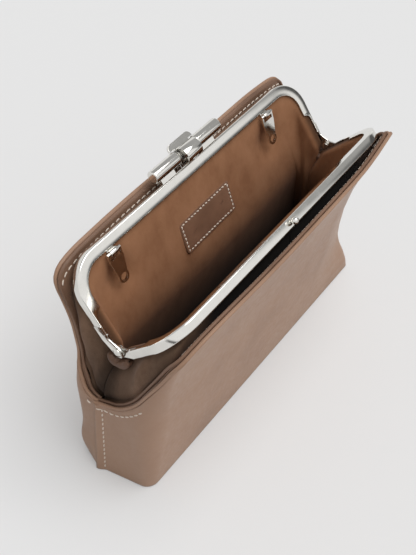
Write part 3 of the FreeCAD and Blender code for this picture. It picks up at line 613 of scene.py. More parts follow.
def settle(side, x, depth, height):
    # soft changes on top of the plan: a slight crown, two faint waves, and the drawn-in or flared corners
    rise = np.clip(height / walls[side]["height"][-1], 0, 1)
    crown = np.clip(np.cos(math.pi / 2 * x / slack["half"]), 0, 1)
    across, upward, tall = slack["waveTurns"]
    wave = np.sin(x * across + height * upward) * np.sin(height * tall)
    depth = depth + crown * (slack["crown"] * np.sin(math.pi * rise) + slack["wave"] * wave)
    if side == front:
        depth = depth + slack["rimCrown"] * crown**2 * rise**3
        amount = np.interp(height, drawnIn["height"], drawnIn["amount"])
        reach = np.clip((x - drawnIn["start"]) / drawnIn["run"], 0, drawnIn["limit"]) ** drawnIn["power"]
        depth = depth - amount * reach * ramped(depth, *drawnIn["depthRun"])
    else:
        upright = bell(height - flareSizes["height"], flareSizes["length"])
        flare = upright * bell(x - flareSizes["x"], flareSizes["width"])
        x, depth = x - flareSizes["outward"] * flare, depth + flareSizes["backward"] * flare
    return np.stack(np.broadcast_arrays(x, side * depth, height), -1)


def endPoints(side, end, height, share, inset):
    # points at a share of one end's run
    x, depth = endPlace(side, end, height, share, inset)
    return settle(side, end * x, depth, height)


def wallPoints(side, height, kinds, shares, inset):
    # kind 0 and 2 are the ends with their corners, kind 1 is the face between the two corners
    leftX, leftY = endPlace(side, left, height, shares[left], inset)
    rightX, rightY = endPlace(side, right, height, shares[right], inset)
    low, high = (wallPlan(side, end, height, inset) for end in (left, right))
    faceX = (low["middle"] + high["middle"]) * shares[0] - low["middle"]
    x = np.where(kinds == 0, -leftX, np.where(kinds == 2, rightX, faceX))
    depth = np.where(kinds == 0, leftY, np.where(kinds == 2, rightY, low["far"]))
    return settle(side, x, depth, height)


def uTable(side):
    # the U's edge as a soft curve of run and height
    curve = evenly(np.stack((walls[side]["uRun"], walls[side]["uHeight"]), -1), wallGrid["uSteps"])
    return smoothed(curve, wallGrid["uSoften"])


def uShare(side, end, height):
    # the U's edge at a height, as a share of the end's run
    curve = uTable(side)
    run = np.interp(height, np.maximum.accumulate(curve[:, 1]), curve[:, 0])
    return np.minimum(run / wallPlan(side, end, height)["length"], wallGrid["uLimit"])


def cutShare(side, end, curve):
    # a curve of run and height, as shares of the end's run
    return curve[:, 0] / wallPlan(side, end, curve[:, 1])["length"]


def bottomCurve(side):
    # the U's lowest part, from the side seam to the shoulder, by even steps, as run and height
    curve = uTable(side)
    return evenly(curve[curve[:, 1] <= walls[side]["shoulder"]], wallGrid["bottom"] + 1)[:-1]


def columnPlan():
    # kind of each column, its number along the U's lowest part or -1, and its share of what lies beyond
    bottom, beside, face = (wallGrid[key] for key in ("bottom", "beside", "face"))
    kinds = np.repeat((0, 0, 1, 2, 2), (bottom, beside, face, beside, bottom))
    steps = np.arange(bottom)
    place = np.concatenate((steps, np.full(face + 2 * beside, -1), steps[::-1]))
    part = np.linspace(0, 1, beside)
    run = np.linspace(0, 1, face + 2)[1:-1]
    share = np.concatenate((steps * 0.0, part, run, part[::-1], steps * 0.0))
    return kinds, place, share


def upperPoints(side, height, inset):
    # above the shoulder the end columns spread from the U's edge to the end of the corner
    kinds, place, share = columnPlan()
    kinds, share = kinds[place < 0], share[place < 0]
    shares = {0: share}
    for end in (left, right):
        edge = uShare(side, end, height)
        shares[end] = edge + (1 - edge) * share
    return wallPoints(side, height, kinds, shares, inset)


def rimTops(side):
    # the rim is level and turns down towards each U, by a table of drops along its own run
    level = float(walls[side]["height"][-1])
    tops = np.full((1, wallGrid["face"] + 2 * wallGrid["beside"]), level)
    for step in range(wallGrid["rimTries"]):
        run = lengths(upperPoints(side, tops, 0)[0, :, :2])
        other = (run[-1] - run) * walls[side]["rightRim"]
        drop = np.interp(np.minimum(run, other), walls[side]["rimRun"], walls[side]["rimDrop"])
        tops = level - drop[None]
    return tops[0]


def lowerPart(side, low, rows, inset):
    # below the shoulder every column runs from the base to the U's lowest part or to the shoulder
    kinds, place, share = columnPlan()
    curve = bottomCurve(side)
    shoulder = float(walls[side]["shoulder"])
    top = np.where(place < 0, shoulder, curve[place, 1])
    height = low + (top - low) * np.linspace(0, 1, rows)[:, None]
    shares = {0: share}
    for end in (left, right):
        edge = uShare(side, end, shoulder)
        even = edge * place / wallGrid["bottom"]
        under = even + (cutShare(side, end, curve)[place] - even) * (height / top) ** 2
        shares[end] = np.where(place < 0, edge + (1 - edge) * share, under)
    return wallPoints(side, height, kinds, shares, inset), top - height


def rimPath(side, inset):
    # the whole edge from one side seam over the rim to the other
    tops = rimTops(side)
    curve = bottomCurve(side)
    rise = np.linspace(walls[side]["shoulder"], tops[0], wallGrid["riseSteps"])[:-1]
    parts = {}
    for end in (left, right):
        low = endPoints(side, end, curve[:, 1], cutShare(side, end, curve), inset)
        parts[end] = np.vstack((low, endPoints(side, end, rise, uShare(side, end, rise), inset)))
    return np.vstack((parts[left], upperPoints(side, tops[None], inset)[0], parts[right][::-1]))


def followWall(piece):
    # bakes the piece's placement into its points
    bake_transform(piece)


def makeWall(name, side, kind):
    # the lower and the upper grid of a layer share the row at the shoulder; wear fades in from the edge
    layer, shoulder = layers[kind], walls[side]["shoulder"]
    rows = max(int(wallGrid["lower"] * (1 - layer["low"] / shoulder)), wallGrid["leastRows"])
    lower, gap = lowerPart(side, layer["low"], rows, layer["inset"])
    upper = columnPlan()[1] < 0
    height = shoulder + (rimTops(side) - shoulder) * np.linspace(0, 1, wallGrid["upper"])[1:, None]
    high = upperPoints(side, height, layer["inset"])
    index = numbered(*lower.shape[:2])
    above = numbered(*high.shape[:2], index.size)
    joined = np.vstack((index[-1, upper], above))
    faces = gridFaces(index, flip=side == back) + gridFaces(joined, flip=side == back)
    piece = meshObject(name, np.concatenate((lower.reshape(-1, 3), high.reshape(-1, 3))), faces, kind)
    lowerWear = np.where(upper, 0, bell(gap, wallGrid["darkening"]))
    upperWear = bell(height[-1] - height, wallGrid["darkening"])
    paint(piece, np.concatenate((lowerWear.ravel(), upperWear.ravel())))
    thicken(piece, layer["thickness"])
    followWall(piece)
    return piece


def makeRoll(name, side, kind):
    # the turned edge: a round profile carried along the wall's edge, at the middle of its thickness
    layer = layers[kind]
    inner = rimPath(side, layer["rollInset"])
    outward = rimPath(side, layer["rollInset"] - rollSizes["look"]) - inner
    run = lengths(inner)
    steps = np.linspace(0, run[-1], int(run[-1] / rollSizes["step"]))
    path, away = (smoothed(readPath(steps, run, line), rollSizes["soften"]) for line in (inner, outward))
    along = unit(np.gradient(path, axis=0))
    points = carried(path, along, squareTo(away, along), layer["roll"], rollSizes["ring"])
    piece = meshObject(name, points, tubeFaces(*points.shape[:2], flip=True), kind)
    paint(piece, rollSizes["darkening"], points.shape[:2])
    softer = piece.modifiers.new("softer", "SUBSURF")
    softer.levels = softer.render_levels = 1
    followWall(piece)
    return piece


for side in (front, back):
    name = sideNames[side]
    leather = makeWall(f"{name}_leather", side, "outer")
    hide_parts(f"{name}_panel", f"{name}_flap")
    facing = makeWall(f"{name}_rim_facing", side, "facing")
    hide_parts(f"{name}_facing")
    outerRoll = makeRoll(f"{name}_turned_edge", side, "outer")
    facingRoll = makeRoll(f"{name}_facing_edge", side, "facing")
print("leather walls made")

# Base leather, drawn in from the walls' plan to the middle line
baseSizes = dict(inset=2.7, thickness=2.0, rings=9, middle=0.78, lift=0.05, darkening=12, merge=0.05, edge=0.5, edgeAngle=55)


def makeBase():
    # each ring is the plan scaled towards the middle line: share 0 is the middle, 1 the edge
    frontLine, backLine = (lowerPart(side, 0, 2, baseSizes["inset"])[0][0] for side in (front, back))
    plan = np.concatenate((frontLine, backLine[::-1]))
    share = np.linspace(1, 0, baseSizes["rings"])[:, None]
    x = plan[:, 0] * (baseSizes["middle"] + (1 - baseSizes["middle"]) * share)
    level = np.full_like(x, baseSizes["thickness"] / 2 + baseSizes["lift"])
    points = np.stack((x, plan[:, 1] * share, level), -1)
    piece = meshObject("base_leather", points, gridFaces(numbered(*x.shape), True), "outer")
    paint(piece, share ** baseSizes["darkening"], x.shape)
    mergeDoubles(piece, baseSizes["merge"])
    thicken(piece, baseSizes["thickness"], 0)
    softenEdges(piece, baseSizes["edge"], angle=baseSizes["edgeAngle"])
    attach(piece, "bag_body")
    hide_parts("base_panel")


makeBase()
print("base made")

# Inner bag: cloth hung from the channels, with its ends folded inwards.
# A ridge is x, y and height of an end's fold; a corner is the reach and depth of the face.
innerBag = dict(
    tuck=1.6, hem=7.4, hemDrop=3, out=2.4, armLow=2.5, columns=220, rows=70, soften=(3, 2), hold=(0.08, 0.2),
    crease=0.56, fold=0.965, ridgeTop=(95.5, 2, 101.5), knots=(0, 0.1, 0.42, 0.7, 1),
    levels=(
        dict(ridge=(90, 4, 84), height=88, corner={front: (86, 20.0), back: (85.5, 11.6)}),
        dict(ridge=(92, 2, 45), height=45, corner={front: (95, 19.5), back: (94, 15.5)}),
        dict(ridge=(98, 0, 4.6), height=4.6, corner={front: (103, 19), back: (103, 19)}),
    ),
    folds=(0.125, 1 / 1.2),
    wave=dict(size=0.8, along=26, down=5, start=(0.5, 0.25)),
    sag=dict(size=0.6, along=7, down=9, start=(0.15, 0.25)),
    dimple=dict(across=(-71, 65), height=124, depth=5, width=9, length=9, start=(0.1, 0.125)),
    # the last two are the painted shade on the cloth inside the channel and how far down it reaches
    cloth=0.8, channelShade=0.85, channelShadeReach=0.085,
)


def bagLine(side, run, level):
    # one level of a half: ridge, crease at the corner, face, and back to the other ridge; run goes -1 to 1
    reach = np.abs(run)
    crease, fold = innerBag["crease"], innerBag["fold"]
    cornerX, depth = level["corner"][side]
    ridgeX, ridgeY, ridgeZ = level["ridge"]
    toRidge = ramped(reach, crease, fold - crease)
    x = np.where(reach < crease, cornerX * reach / crease, cornerX + (ridgeX - cornerX) * toRidge)
    y = side * depth + (ridgeY - side * depth) * toRidge
    z = level["height"] + (ridgeZ - level["height"]) * toRidge
    return np.stack((np.sign(run) * x, y, z), -1)


def bagSurface(side):
    # levels from the channel to the foot, joined straight and softened, with folds along the normals
    columns, fold = innerBag["columns"], innerBag["fold"]
    run = np.linspace(-1, 1, columns)
    reach = np.abs(run)
    # the top edge follows the channel, and near the hinges it drops to the ridge under the rivet
    scaled = np.clip(run / fold, -1, 1)
    under = ramped(reach, fold, 1 - fold)[:, None]
    ridgeX, ridgeY, ridgeZ = innerBag["ridgeTop"]
    ridgeTop = np.stack(np.broadcast_arrays(np.sign(run) * ridgeX, ridgeY, ridgeZ), -1)

    def held(inset, drop):
        arm = readPath(scaled, run, archPath(inset, innerBag["armLow"], columns))
        edge = framePoint(side, arm[:, 0], innerBag["out"], arm[:, 1])
        return edge + (ridgeTop - (0, 0, drop) - edge) * under

    levels = [held(innerBag["tuck"], 0), held(innerBag["hem"], innerBag["hemDrop"])]
    levels = np.stack(levels + [bagLine(side, run, level) for level in innerBag["levels"]])
    knots = np.array(innerBag["knots"])
    share = np.linspace(0, 1, innerBag["rows"])
    slot = np.clip(np.searchsorted(knots, share, "right") - 1, 0, len(knots) - 2)
    part = ((share - knots[slot]) / (knots[slot + 1] - knots[slot]))[:, None, None]
    softenDown, softenAcross = innerBag["soften"]
    points = smoothed(levels[slot] * (1 - part) + levels[slot + 1] * part, softenDown, 0)
    # the channel holds the top edge, so the softening fades in below it
    hold = ramped(share, *innerBag["hold"])[:, None, None]
    points = points * (1 - hold) + smoothed(points, softenAcross, 1) * hold
    # soft folds: long upright waves at the ends, faint sag over the face
    down, wave, sag = share[:, None], innerBag["wave"], innerBag["sag"]
    deep = np.sin(math.pi * ramped(down, *innerBag["folds"]))
    waves = wave["size"] * np.sin(run * wave["along"] + down * wave["down"]) * ramped(reach, *wave["start"])
    sags = sag["size"] * np.sin(run * sag["along"] + 1) * np.sin(down * sag["down"])
    sags = sags * ramped(down, *sag["start"])
    points = points + gridNormals(points) * ((waves + sags) * deep)[..., None]
    if side == back:
        # the cloth gives way behind each chain loop: a bell-shaped dimple
        dimple = innerBag["dimple"]
        rise = bell(points[..., 2] - dimple["height"], dimple["length"]) * ramped(down, *dimple["start"])
        for middle in dimple["across"]:
            points[..., 1] += dimple["depth"] * rise * bell(points[..., 0] - middle, dimple["width"])
    return points


def followLining(piece):
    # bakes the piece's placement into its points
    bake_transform(piece)


def makeInnerBag(side):
    # the surface as a cloth of even thickness, with painted shade where it is tucked into the channel
    name = sideNames[side]
    points = bagSurface(side)
    shape = points.shape[:2]
    cloth = meshObject(f"{name}_inner_bag", points, gridFaces(numbered(*shape), flip=side == front), "lining")
    down = np.linspace(0, 1, shape[0])[:, None]
    # painted shade on the top rows, which run into the channel's relief
    paint(cloth, innerBag["channelShade"] * bell(down, innerBag["channelShadeReach"], 4), shape)
    thicken(cloth, innerBag["cloth"], 0)
    followLining(cloth)
    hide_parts(f"{name}_lining")


for side in (front, back):
    makeInnerBag(side)
print("inner bag hung")

# Suede ends: sheets between the frame's arms and the inside of the U, meeting in a valley under the hinge
suedeSizes = dict(
    valleyTop=(96.5, 2, 96.5), out=6.1, inset=4.6, low=9, stations=400, overlap=6, rows=170, columns=30,
    lip=(2.2, 6.5, 16), lipFall=(94, 45), shift=3.5, shiftFrom=0.2, inside=4.5, riseSteps=40, pastMiddle=3,
    bulge=3.4, groove=2.6, grooveAt=0.9, grooveWidth=0.07, crest=4, crestAt=0.2, crestWidth=0.05,
    fullSpan=22, lean=(0.6, 0.8), cloth=1.0,
)
# painted shade on the suede: along the mouth, in the valley, under the arm, and a plain shade off the lit crest
suedeShade = dict(mouth=(93, 26), valley=(0.8, 13), arm=(0.6, 0.14), plain=0.4)


def uInside(side, end):
    # a line under the U's edge on the inside of the facing, from the side seam to the top of the rim
    low, high, deep = suedeSizes["lip"]
    inside, steps = suedeSizes["inside"], suedeSizes["riseSteps"]
    curve = bottomCurve(side)[1:]
    bottom = endPoints(side, end, curve[:, 1] - low, cutShare(side, end, curve), inside)
    tops = rimTops(side)
    rise = np.linspace(walls[side]["shoulder"] + 1, tops[0] - high, steps)
    shift = suedeSizes["shift"] * np.linspace(suedeSizes["shiftFrom"], 1, steps)
    cut = uShare(side, end, rise) + shift / wallPlan(side, end, rise)["length"]
    column = endPoints(side, end, rise, cut, inside)
    reach = frameSizes["halfSpan"] * np.abs(np.linspace(-1, 1, len(tops)))
    start, run = suedeSizes["lipFall"]
    below = tops - high - (deep - high) * ramped(start - reach, 0, run)
    rim = upperPoints(side, below[None], inside)[0, wallGrid["beside"] : -wallGrid["beside"]]
    rim = rim[rim[:, 0] * end > -suedeSizes["pastMiddle"]]
    return np.vstack((bottom, column, rim if end == left else rim[::-1]))


def makeSuede(side, end):
    # straight lines from the arm to the U, with a soft bulge, one fold crest, and a groove next to the facing
    name = f"{endNames[end]}_{sideNames[side]}_gusset_suede"
    rows, stations = suedeSizes["rows"], suedeSizes["stations"]
    arch = archPath(suedeSizes["inset"], suedeSizes["low"], stations)[::-end]
    arm = arch[: stations // 2 + suedeSizes["overlap"]]
    x, y, z = suedeSizes["valleyTop"]
    hung = framePoint(side, arm[:, 0], suedeSizes["out"], arm[:, 1])
    near = evenly(np.vstack(((end * x, y, z), hung)), rows)[:, None]
    far = evenly(uInside(side, end), rows)[:, None]
    down, part = np.linspace(0, 1, rows)[:, None], np.linspace(0, 1, suedeSizes["columns"])
    hump = np.sin(math.pi * part)
    groove = suedeSizes["groove"] * bell(part - suedeSizes["grooveAt"], suedeSizes["grooveWidth"])
    crest = suedeSizes["crest"] * bell(down - suedeSizes["crestAt"], suedeSizes["crestWidth"])
    span = np.linalg.norm(far - near, axis=2)
    lift = (suedeSizes["bulge"] * hump**2 - groove + crest * hump) * ramped(span, 0, suedeSizes["fullSpan"])
    leanOut, leanUp = suedeSizes["lean"]
    points = near + (far - near) * part[:, None] + lift[..., None] * np.array((leanOut * end, 0, leanUp))
    shape = points.shape[:2]
    suede = meshObject(name, points, gridFaces(numbered(*shape), flip=side * end < 0), "suede")
    # painted shade along the mouth's groove, in the valley and under the arm, and a plain painted shade everywhere but
    # on the crest, which so reads as lit
    start, run = suedeShade["mouth"]
    mouth = ramped(start - np.abs(points[..., 0]), 0, run)
    (valley, valleyRows), (arm, armWidth) = suedeShade["valley"], suedeShade["arm"]
    valleyShade = valley * bell(np.arange(rows)[:, None], valleyRows)
    onCrest = bell(down - suedeSizes["crestAt"], suedeSizes["crestWidth"] * math.sqrt(2))
    plain = suedeShade["plain"] * (1 - onCrest)
    paint(suede, np.maximum(np.maximum(mouth, valleyShade), np.maximum(arm * bell(part, armWidth), plain)))
    thicken(suede, suedeSizes["cloth"], 0)
    followWall(suede)
    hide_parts(f"{endNames[end]}_gusset")


for side in (front, back):
    for end in (left, right):
        makeSuede(side, end)
print("suede ends sewn in")

# Leather cuffs under the hinges
cuffSizes = dict(
    radius=7.8, wall=2.6, halfAngle=64, aim=-102, length=10, middle=98, rings=48, profile=28, square=0.6,
    narrow=0.45, crumple=dict(size=0.5, along=9, across=0.5, top=0.4),
    ripple=dict(size=0.3, along=4, across=1.3),
)


def makeCuff(end):
    # a rounded flat profile carried round the underside of the hinge, with crumpled folds
    run = np.linspace(-1, 1, cuffSizes["rings"])[:, None]
    angle = np.radians(cuffSizes["aim"] + run * cuffSizes["halfAngle"])
    turn = around(cuffSizes["profile"])
    taper = np.sqrt(np.clip(1 - np.abs(run) ** 4, 0.01, 1))
    waves = (np.cos(turn), np.sin(turn))
    flatCos, flatSin = (np.sign(value) * np.abs(value) ** cuffSizes["square"] for value in waves)
    narrow, crumple, ripple = (cuffSizes[key] for key in ("narrow", "crumple", "ripple"))
    across = flatCos * cuffSizes["length"] / 2 * (narrow + (1 - narrow) * taper)
    fold = crumple["size"] * np.sin(angle * crumple["along"] + across * crumple["across"])
    fold = fold * np.clip(np.sin(turn), -1, crumple["top"])
    fold = fold + ripple["size"] * np.sin(across * ripple["across"] + angle * ripple["along"])
    radius = cuffSizes["radius"] - flatSin * cuffSizes["wall"] * taper + fold * taper
    height = frameSizes["hinge"] + radius * np.sin(angle)
    points = np.stack((end * cuffSizes["middle"] + across, radius * np.cos(angle), height), -1)
    piece = meshObject(f"{endNames[end]}_cuff", points, tubeFaces(*points.shape[:2]), "cuff")
    paint(piece, 0, points.shape[:2])
    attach(piece, "bag_body")
    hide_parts(f"{endNames[end]}_hinge_cuff")


for end in (left, right):
    makeCuff(end)
print("cuffs made")

# Bare sewn patch on the back lining; the slope is two points of depth and height on the cloth.
# The rings run from the back edge over the rounded rim, down the stitch groove and to the middle line.
patchSizes = dict(
    halfLength=22.8, halfHeight=10.4, corner=2, middle=110.4, turn=1, slope=((11.6, 88.0), (29.3, 138.9)),
    proud=0.55, curl=dict(size=0.35, start=14, run=9, down=8), darkening=0.5,
    ringInset=(0.3, 0, 0, 0.12, 0.4, 1.2, 1.5, 1.9, 2.2, 4, 7, 10.4),
    ringLift=(0, 0.35, 0.75, 1.0, 1.18, 1.2, 1.1, 1.1, 1.2, 1.26, 1.3, 1.3),
)


def patchOutline(inset, count=96):
    # rounded rectangle by even steps: each corner is a quarter circle, joined by straight sides
    halfLength, halfHeight = patchSizes["halfLength"] - inset, max(patchSizes["halfHeight"] - inset, 0.02)
    bend = min(max(patchSizes["corner"] - inset, 0.4), halfHeight)
    quarter = np.linspace(0, math.pi / 2, count // 8)
    turns = np.concatenate([quarter + k * math.pi / 2 for k in range(4)])
    middleX = np.repeat(np.array((1, -1, -1, 1)) * (halfLength - bend), len(quarter))
    middleY = np.repeat(np.array((1, 1, -1, -1)) * (halfHeight - bend), len(quarter))
    loop = np.stack((middleX + bend * np.cos(turns), middleY + bend * np.sin(turns)), -1)
    return evenly(np.vstack((loop, loop[:1])), count + 1)[:-1]


def patchPlace(flat, lift):
    # flat x, y on the patch, turned, to the back lining's slope
    low, high = np.array(patchSizes["slope"])
    along = (high - low) / np.linalg.norm(high - low)
    middle = low + (high - low) * (patchSizes["middle"] - low[1]) / (high[1] - low[1])
    turn = math.radians(patchSizes["turn"])
    flat = flat @ np.array(((math.cos(turn), math.sin(turn)), (-math.sin(turn), math.cos(turn))))
    lift = lift + patchSizes["proud"]
    depth = middle[0] + flat[..., 1] * along[0] - lift * along[1]
    height = middle[1] + flat[..., 1] * along[1] + lift * along[0]
    return np.stack((flat[..., 0], depth, height), -1)


def makePatch():
    # rings of the outline at growing insets; the lower corners curl up a little
    inset, lift = np.array(patchSizes["ringInset"]), np.array(patchSizes["ringLift"])[:, None]
    flat = np.stack([patchOutline(step) for step in inset])
    curl = patchSizes["curl"]
    ends = ramped(np.abs(flat[..., 0]), curl["start"], curl["run"])
    points = patchPlace(flat, lift + curl["size"] * ends * ramped(-flat[..., 1], 0, curl["down"]))
    shape = flat.shape[:2]
    piece = meshObject("label_leather", points, gridFaces(numbered(*shape), True), "trim")
    paint(piece, bell(inset[:, None], patchSizes["darkening"]), shape)
    followLining(piece)
    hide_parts("label_patch")


makePatch()
print("patch made")

# Paper cord packed in each channel
cordSizes = dict(inset=3.3, width=1.1, low=17.5, stations=240, profile=14, twist=0.06, strands=3, twistStep=0.9)


def makeChannelCord(side):
    # a round profile with a twist carried along the arch
    path = archPath(cordSizes["inset"], cordSizes["low"], cordSizes["stations"])
    turn = around(cordSizes["profile"])
    twisted = turn * cordSizes["strands"] + np.arange(len(path))[:, None] * cordSizes["twistStep"]
    radius = cordSizes["width"] * (1 + cordSizes["twist"] * np.sin(twisted))
    along = unit(np.gradient(path, axis=0))
    sideways = np.stack((-along[:, 1], along[:, 0]), -1)
    across = path[:, None] + sideways[:, None] * (radius * np.cos(turn))[..., None]
    points = framePoint(side, across[..., 0], frameSizes["out"] + radius * np.sin(turn), across[..., 1])
    faces = tubeFaces(*points.shape[:2], flip=side == front)
    piece = meshObject(f"{sideNames[side]}_paper_cord", points, faces, "cord")
    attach(piece, f"{sideNames[side]}_frame")
    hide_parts(f"{sideNames[side]}_channel_cord")


for side in (front, back):
    makeChannelCord(side)
print("channel cords laid")

# Thread: every stitch is a small rounded bar half sunk in the leather
threadSizes = dict(
    pitch=4.2, length=3.1, width=0.46, flat=0.8, tip=0.02, bow=0.28, sink=0.08, skew=0.18, look=0.3,
    span=(-1, -0.82, -0.3, 0.3, 0.82, 1.0), ring=6, rimInset={front: 4.5, back: 4.6}, rimBelow=3.2, rimStart=4,
    seam=4.6, seamLow=3, seamHigh=63, seamSteps=60, seamLean=(-0.05, 0.08),
    uGap=3.7, uSoften=6, uTop=90, uRun={front: (1, 33), back: (1.5, 9)}, uInset={front: 0, back: -0.7},
    uLean=(0.05, 0.1), patchSeam=1.7, patchSteps=240, patchLift=1.12, patchPitch=2.6, patchLength=1.9,
)


def sewLine(name, path, normals, pitch=threadSizes["pitch"], length=threadSizes["length"]):
    # stitches at even pitch along a path; each is an ellipse turned along the seam
    run = lengths(path)
    count = max(int(run[-1] / pitch), 1)
    places = (np.arange(count) + 0.5) * run[-1] / count
    look = threadSizes["look"]
    along = unit(readPath(places + look, run, path) - readPath(places - look, run, path))
    outward = squareTo(readPath(places, run, normals), along)
    across = np.cross(along, outward)
    span = np.array(threadSizes["span"])[:, None]
    turn = around(threadSizes["ring"])
    girth = np.sqrt(np.clip(1 - span**4, 0.0, 1)) * threadSizes["width"] + threadSizes["tip"]
    bow = threadSizes["bow"] * (1 - span**2) - threadSizes["sink"]
    rise = girth * np.sin(turn) * threadSizes["flat"] + bow
    slew = girth * np.cos(turn) + threadSizes["skew"] * span
    points = readPath(places, run, path)[:, None, None]
    for amount, way in ((span * length / 2, along), (rise, outward), (slew, across)):
        points = points + amount[..., None] * way[:, None, None]
    rows, ring = rise.shape
    faces = [face for k in range(count) for face in tubeFaces(rows, ring, rows * ring * k, True)]
    return meshObject(name, points, faces, "thread")


def rimThread(side):
    # a row on the facing that keeps a set distance below the rim
    lean = math.cos(math.radians(frameSizes["tilt"][side]))
    below = threadSizes["rimBelow"]
    height = rimTops(side) - np.array(((below + 1,), (below,))) * lean
    points = upperPoints(side, height, threadSizes["rimInset"][side])
    start = wallGrid["beside"] - threadSizes["rimStart"]
    path, normals = (grid[1, start:-start] for grid in (points, -side * gridNormals(points)))
    followWall(sewLine(f"{sideNames[side]}_rim_thread", path, normals))


for side in (front, back):
    rimThread(side)


def sewEnd(end):
    # one upright row beside the side seam, and a row on each side that follows the U below its edge
    height = np.linspace(threadSizes["seamLow"], threadSizes["seamHigh"], threadSizes["seamSteps"])
    share = (-threadSizes["seam"] - walls[front]["seam"]) / wallPlan(front, end, height)["length"]
    row = endPoints(front, end, height, share, 0)
    normals = np.tile((end, *threadSizes["seamLean"]), (len(row), 1))
    followWall(sewLine(f"{endNames[end]}_side_seam_thread", row, normals))
    for side in (front, back):
        curve = uTable(side)
        along = unit(np.gradient(curve, axis=0))
        square = np.stack((along[:, 1], -along[:, 0]), -1)
        moved = smoothed(curve + square * threadSizes["uGap"], threadSizes["uSoften"])
        first, last = threadSizes["uRun"][side]
        moved = moved[(moved[:, 0] > first) & (moved[:, 0] < last) & (moved[:, 1] < threadSizes["uTop"])]
        row = endPoints(side, end, moved[:, 1], cutShare(side, end, moved), threadSizes["uInset"][side])
        leanBack, leanUp = threadSizes["uLean"]
        normals = np.tile((end, side * leanBack, leanUp), (len(row), 1))
        followWall(sewLine(f"{endNames[end]}_{sideNames[side]}_u_thread", row, normals))


for end in (left, right):
    sewEnd(end)


def sewPatch():
    # a row in the patch's groove, inset from its edge
    outline = patchOutline(threadSizes["patchSeam"], threadSizes["patchSteps"])
    outline = np.vstack((outline, outline[:1]))
    path, above = (patchPlace(outline, threadSizes["patchLift"] + step) for step in (0, 1))
    piece = sewLine("label_thread", path, above - path, threadSizes["patchPitch"], threadSizes["patchLength"])
    followLining(piece)


sewPatch()
print("stitches sewn")

# Coil spring beside the collar, in the clasp bar's own axes
springSizes = dict(
    radius=3.15, wire=0.25, near=-6.55, far=-7.5, start=-55, turns=1.9, rise=57.9, footLow=-7.2, footGap=0.2,
    leg=(0, 1.2, 3.6), ring=8,
)


def makeSpring():
    # a round wire carried along a helix, with straight legs to the frame and to the thumb tab
    run = np.linspace(0, 1, 120)
    near, far, radius = (springSizes[key] for key in ("near", "far", "radius"))
    angle = math.radians(springSizes["start"]) + springSizes["turns"] * 2 * math.pi * run
    coil = np.stack((near + (far - near) * run, radius * np.cos(angle), radius * np.sin(angle)), -1)
    footUp = np.linspace(springSizes["footLow"], coil[0, 2] - springSizes["footGap"], 8)
    foot = np.stack(np.broadcast_arrays(near, coil[0, 1], footUp), -1)
    leg = coil[-1] + np.linspace(0.1, 1, 10)[:, None] * np.array(springSizes["leg"])
    path = np.vstack((foot, coil, leg))
    along = unit(np.gradient(path, axis=0))
    tube = carried(path, along, unit(np.cross(along, (1.0, 0, 0))), springSizes["wire"], springSizes["ring"])
    points = framePoint(back, tube[..., 0], tube[..., 1], springSizes["rise"] + tube[..., 2])
    piece = meshObject("coil_spring", points, tubeFaces(*points.shape[:2], flip=True), "spring")
    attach(piece, "back_frame")
    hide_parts("lock_spring")


makeSpring()
print("spring wound")

# Carried-over nodes: the solids' own shapes with softened edges
metalEdges = dict(
    left_hinge_rivet=0.2, right_hinge_rivet=0.2, left_lock_barrel=0.2, right_lock_barrel=0.2, lock_shaft=0.15,
    lock_rocker=0.5, catch_stud=0.15, left_loop_bracket=0.2, right_loop_bracket=0.2, left_chain_loop=0.25,
    right_chain_loop=0.25,
)
metalMerge = 0.01


def refinish(node, finish):
    node.data.materials.clear()
    node.data.materials.append(finishes[finish])


for name, width in metalEdges.items():
    refinish(nodes[name], "metal")
    mergeDoubles(nodes[name], metalMerge)
    softenEdges(nodes[name], width)
refinish(nodes["base_board"], "board")
print("metal finished")

# Pale floor and soft studio light from the front right, in metres.
# The pairs after shine are ranges of a direction's x + y, y or z, over which the room's tone changes.
studio = dict(
    floor=rgb(231, 231, 231), reach=12, level=-0.0002, paper=0.3, towards=(0.5, -0.75, 0.35), sky=(0.22, 0.62),
    key=1.72, keyTurn=(20, 0, 36), keyWidth=46, shine=(0.1, 0.92), rise=(0.07, 0.15), stripEnd=(-0.08, 0.04),
    overhead=(0.3, 0.42), overheadBehind=(0.3, 0.5), behind=(-0.35, -0.1), grey=0.4, pale=0.9,
)


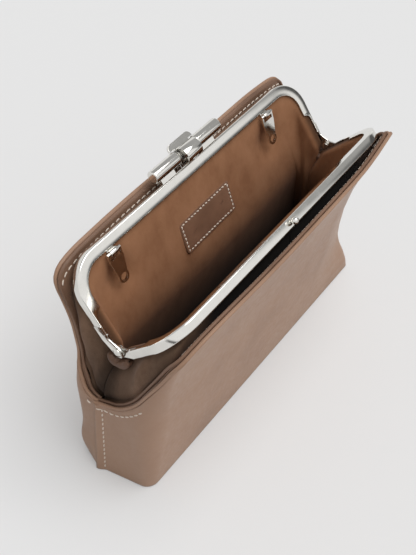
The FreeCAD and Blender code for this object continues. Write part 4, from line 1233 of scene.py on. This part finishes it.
def makeFloor():
    # a wide sheet of paper; the camera sees part of the paper's own tone, so that the shadow stays light
    reach, level = studio["reach"], studio["level"]
    sheet = bpy.data.meshes.new("floor")
    corners = [(x * reach, y * reach, level) for x, y in ((-1, -1), (1, -1), (1, 1), (-1, 1))]
    sheet.from_pydata(corners, [], [(0, 1, 2, 3)])
    floor = bpy.data.objects.new("floor", sheet)
    bpy.context.scene.collection.objects.link(floor)
    paper = Finish("floorPaper")
    paper.set({"Base Color": studio["floor"], "Roughness": 0.95, "Specular IOR Level": 0.1})
    glow = paper.fill(paper.add("ShaderNodeEmission"), {"Color": studio["floor"]})
    seen = paper.calc("MULTIPLY", paper.add("ShaderNodeLightPath").outputs["Is Camera Ray"], studio["paper"])
    parts = {"Fac": seen, 1: paper.shader.outputs["BSDF"], 2: glow.outputs["Emission"]}
    mixed = paper.fill(paper.add("ShaderNodeMixShader"), parts).outputs["Shader"]
    paper.feed(paper.tree.nodes["Material Output"].inputs["Surface"], mixed)
    sheet.materials.append(paper.material)


def makeRoom():
    # the room is lighter towards the window side: strength grows with the dot product of both directions
    world = bpy.data.worlds.new("studio")
    bpy.context.scene.world = world
    world.use_nodes = True
    room = NodeTree(world.node_tree)
    way = room.coords["Generated"]
    facing = room.add("ShaderNodeVectorMath", operation="DOT_PRODUCT")
    room.fill(facing, {0: way, 1: Vector(studio["towards"]).normalized()})
    level = room.spread(facing.outputs["Value"], *studio["sky"], -1, 1)
    # polished faces see a pale room, greyer overhead, with a dark strip low in front and at the right of it
    axes, grey, pale = room.axes(way), studio["grey"], studio["pale"]
    ahead = room.spread(axes["Z"], *studio["shine"], *studio["rise"])
    beside = room.spread(room.calc("ADD", axes["X"], axes["Y"]), *studio["shine"][::-1], *studio["stripEnd"])
    above = room.spread(axes["Z"], 0, grey, *studio["overhead"])
    behind = room.spread(axes["Y"], 0, pale, *studio["behind"])
    aboveBehind = room.spread(axes["Z"], pale, grey, *studio["overheadBehind"])
    ahead = room.calc("MAXIMUM", room.calc("MINIMUM", ahead, beside), above)
    shine = room.calc("MAXIMUM", ahead, room.calc("MINIMUM", behind, aboveBehind))
    rays = room.add("ShaderNodeLightPath").outputs
    for ray, seen in (("Is Glossy Ray", shine), ("Is Camera Ray", studio["floor"][0])):
        choice = {"Factor": rays[ray], "A": level, "B": seen}
        level = room.fill(room.add("ShaderNodeMix"), choice).outputs["Result"]
    room.fill(world.node_tree.nodes["Background"], {"Strength": level, "Color": (1, 1, 1, 1)})


def makeKey():
    # one wide sun, so that shadows have soft edges
    lamp = bpy.data.lights.new("key", "SUN")
    lamp.energy = studio["key"]
    lamp.angle = math.radians(studio["keyWidth"])
    key = bpy.data.objects.new("key", lamp)
    key.rotation_euler = [math.radians(value) for value in studio["keyTurn"]]
    bpy.context.scene.collection.objects.link(key)


makeFloor()
makeRoom()
makeKey()
print("studio lit")

bpy.context.view_layer.update()
